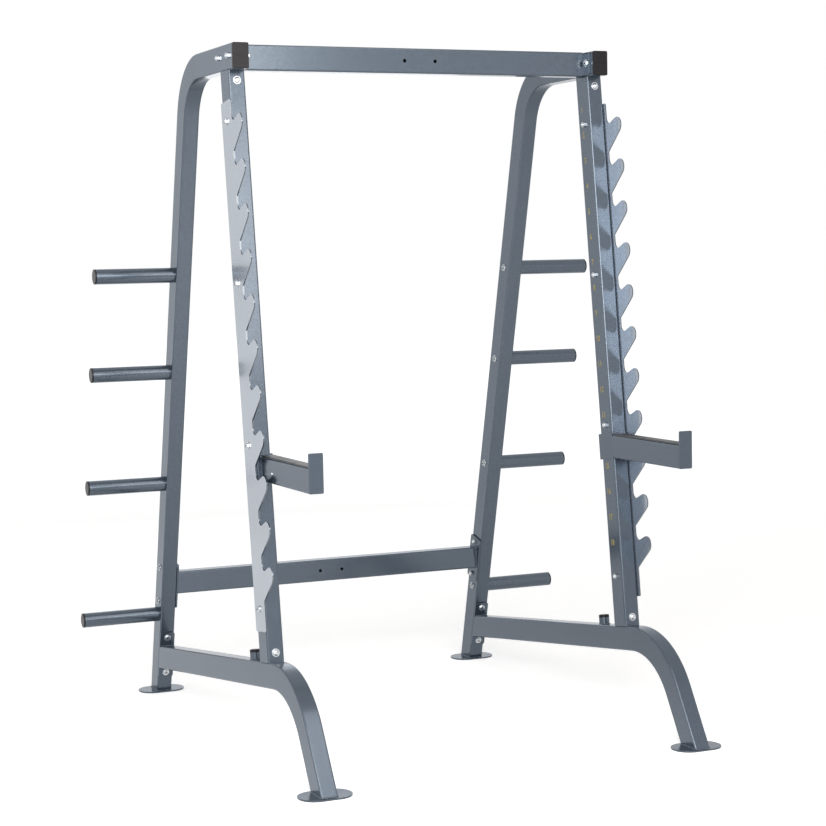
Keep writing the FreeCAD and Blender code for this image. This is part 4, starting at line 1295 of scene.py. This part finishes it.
def floor_white():
    """Pale matt floor that keeps the shadow near the rack and fades to white far away."""
    material = bpy.data.materials.new("floor_white")
    tree = blank_tree(material)
    link = tree.links.new
    matt = node(tree, "BsdfDiffuse", in_Color=FLOOR_COLOUR)
    glow = node(tree, "Emission")
    reach = node(tree, "VectorMath", operation="LENGTH")
    link(own_place(tree), reach.inputs[0])
    lift = remap(tree, reach.outputs["Value"], LIFT_FROM, LIFT_TO, FLOOR_LIFT, FAR_FLOOR_LIFT)
    link(calc(tree, "MULTIPLY", lift, seen_directly(tree)), glow.inputs["Strength"])
    both = node(tree, "AddShader")
    link(matt.outputs[0], both.inputs[0])
    link(glow.outputs[0], both.inputs[1])
    link(both.outputs[0], node(tree, "OutputMaterial").inputs["Surface"])
    return material


def add_camera(scene):
    """The camera where the photograph was taken from."""
    data = bpy.data.cameras.new("photo_camera")
    data.lens = CAMERA_LENS
    data.sensor_fit = "HORIZONTAL"
    data.shift_x, data.shift_y = CAMERA_SHIFT
    data.clip_end = 100.0
    camera = bpy.data.objects.new("photo_camera", data)
    flat = math.cos(CAMERA_PITCH)
    ahead = Vector((math.sin(CAMERA_YAW) * flat, math.cos(CAMERA_YAW) * flat,
                    -math.sin(CAMERA_PITCH)))
    right = Vector((math.cos(CAMERA_YAW), -math.sin(CAMERA_YAW), 0.0))
    up = right.cross(ahead)
    cos_roll, sin_roll = math.cos(CAMERA_ROLL), math.sin(CAMERA_ROLL)
    level_right = cos_roll * right + sin_roll * up
    level_up = -sin_roll * right + cos_roll * up
    turn = Matrix((level_right, level_up, -ahead)).transposed().to_4x4()
    camera.matrix_world = Matrix.Translation(CAMERA_PLACE) @ turn
    scene.collection.objects.link(camera)
    scene.camera = camera


class HALFRACK_OT_stage(bpy.types.Operator):
    """Set up the pale floor, the soft light and the camera"""
    bl_idname = "half_rack.stage"
    bl_label = "Floor, light and camera"
    bl_options = {"REGISTER", "UNDO"}

    def execute(self, context):
        scene = context.scene
        bpy.ops.mesh.primitive_plane_add(size=FLOOR_SIZE, location=(0, 0, -FLOOR_BELOW))
        floor = bpy.context.object
        floor.name = "studio_floor"
        floor.data.materials.append(floor_white())
        light_world(scene)
        for lamp in SOFT_BOXES:
            soft_box(*lamp)
        add_camera(scene)
        scene.view_settings.view_transform = "Standard"
        return {"FINISHED"}


# The add-on

STEPS = (
    HALFRACK_OT_tubes,
    HALFRACK_OT_hook_plates,
    HALFRACK_OT_flanges,
    HALFRACK_OT_beam_caps,
    HALFRACK_OT_weight_pegs,
    HALFRACK_OT_band_stubs,
    HALFRACK_OT_fasteners,
    HALFRACK_OT_spotter_arms,
    HALFRACK_OT_pull_pins,
    HALFRACK_OT_welds,
    HALFRACK_OT_height_numbers,
    HALFRACK_OT_stage,
)


class HALFRACK_PT_steps(bpy.types.Panel):
    """Steps that finish the half rack, in order"""
    bl_idname = "HALFRACK_PT_steps"
    bl_label = "Half rack"
    bl_space_type = "VIEW_3D"
    bl_region_type = "UI"
    bl_category = "Half rack"

    def draw(self, context):
        layout = self.layout
        for settings in (context.scene.half_rack_colours, context.scene.half_rack_sizes):
            box = layout.box()
            for key in settings.__annotations__:
                box.prop(settings, key)
        for step in STEPS:
            layout.operator(step.bl_idname)


CLASSES = (HalfRackColours, HalfRackSizes) + STEPS + (HALFRACK_PT_steps,)


def register():
    for item in CLASSES:
        bpy.utils.register_class(item)
    bpy.types.Scene.half_rack_colours = PointerProperty(type=HalfRackColours)
    bpy.types.Scene.half_rack_sizes = PointerProperty(type=HalfRackSizes)


def unregister():
    del bpy.types.Scene.half_rack_sizes
    del bpy.types.Scene.half_rack_colours
    for item in reversed(CLASSES):
        bpy.utils.unregister_class(item)


def main():
    register()
    for step in STEPS:
        group, name = step.bl_idname.split(".")
        getattr(getattr(bpy.ops, group), name)()


if __name__ == "__main__":
    main()
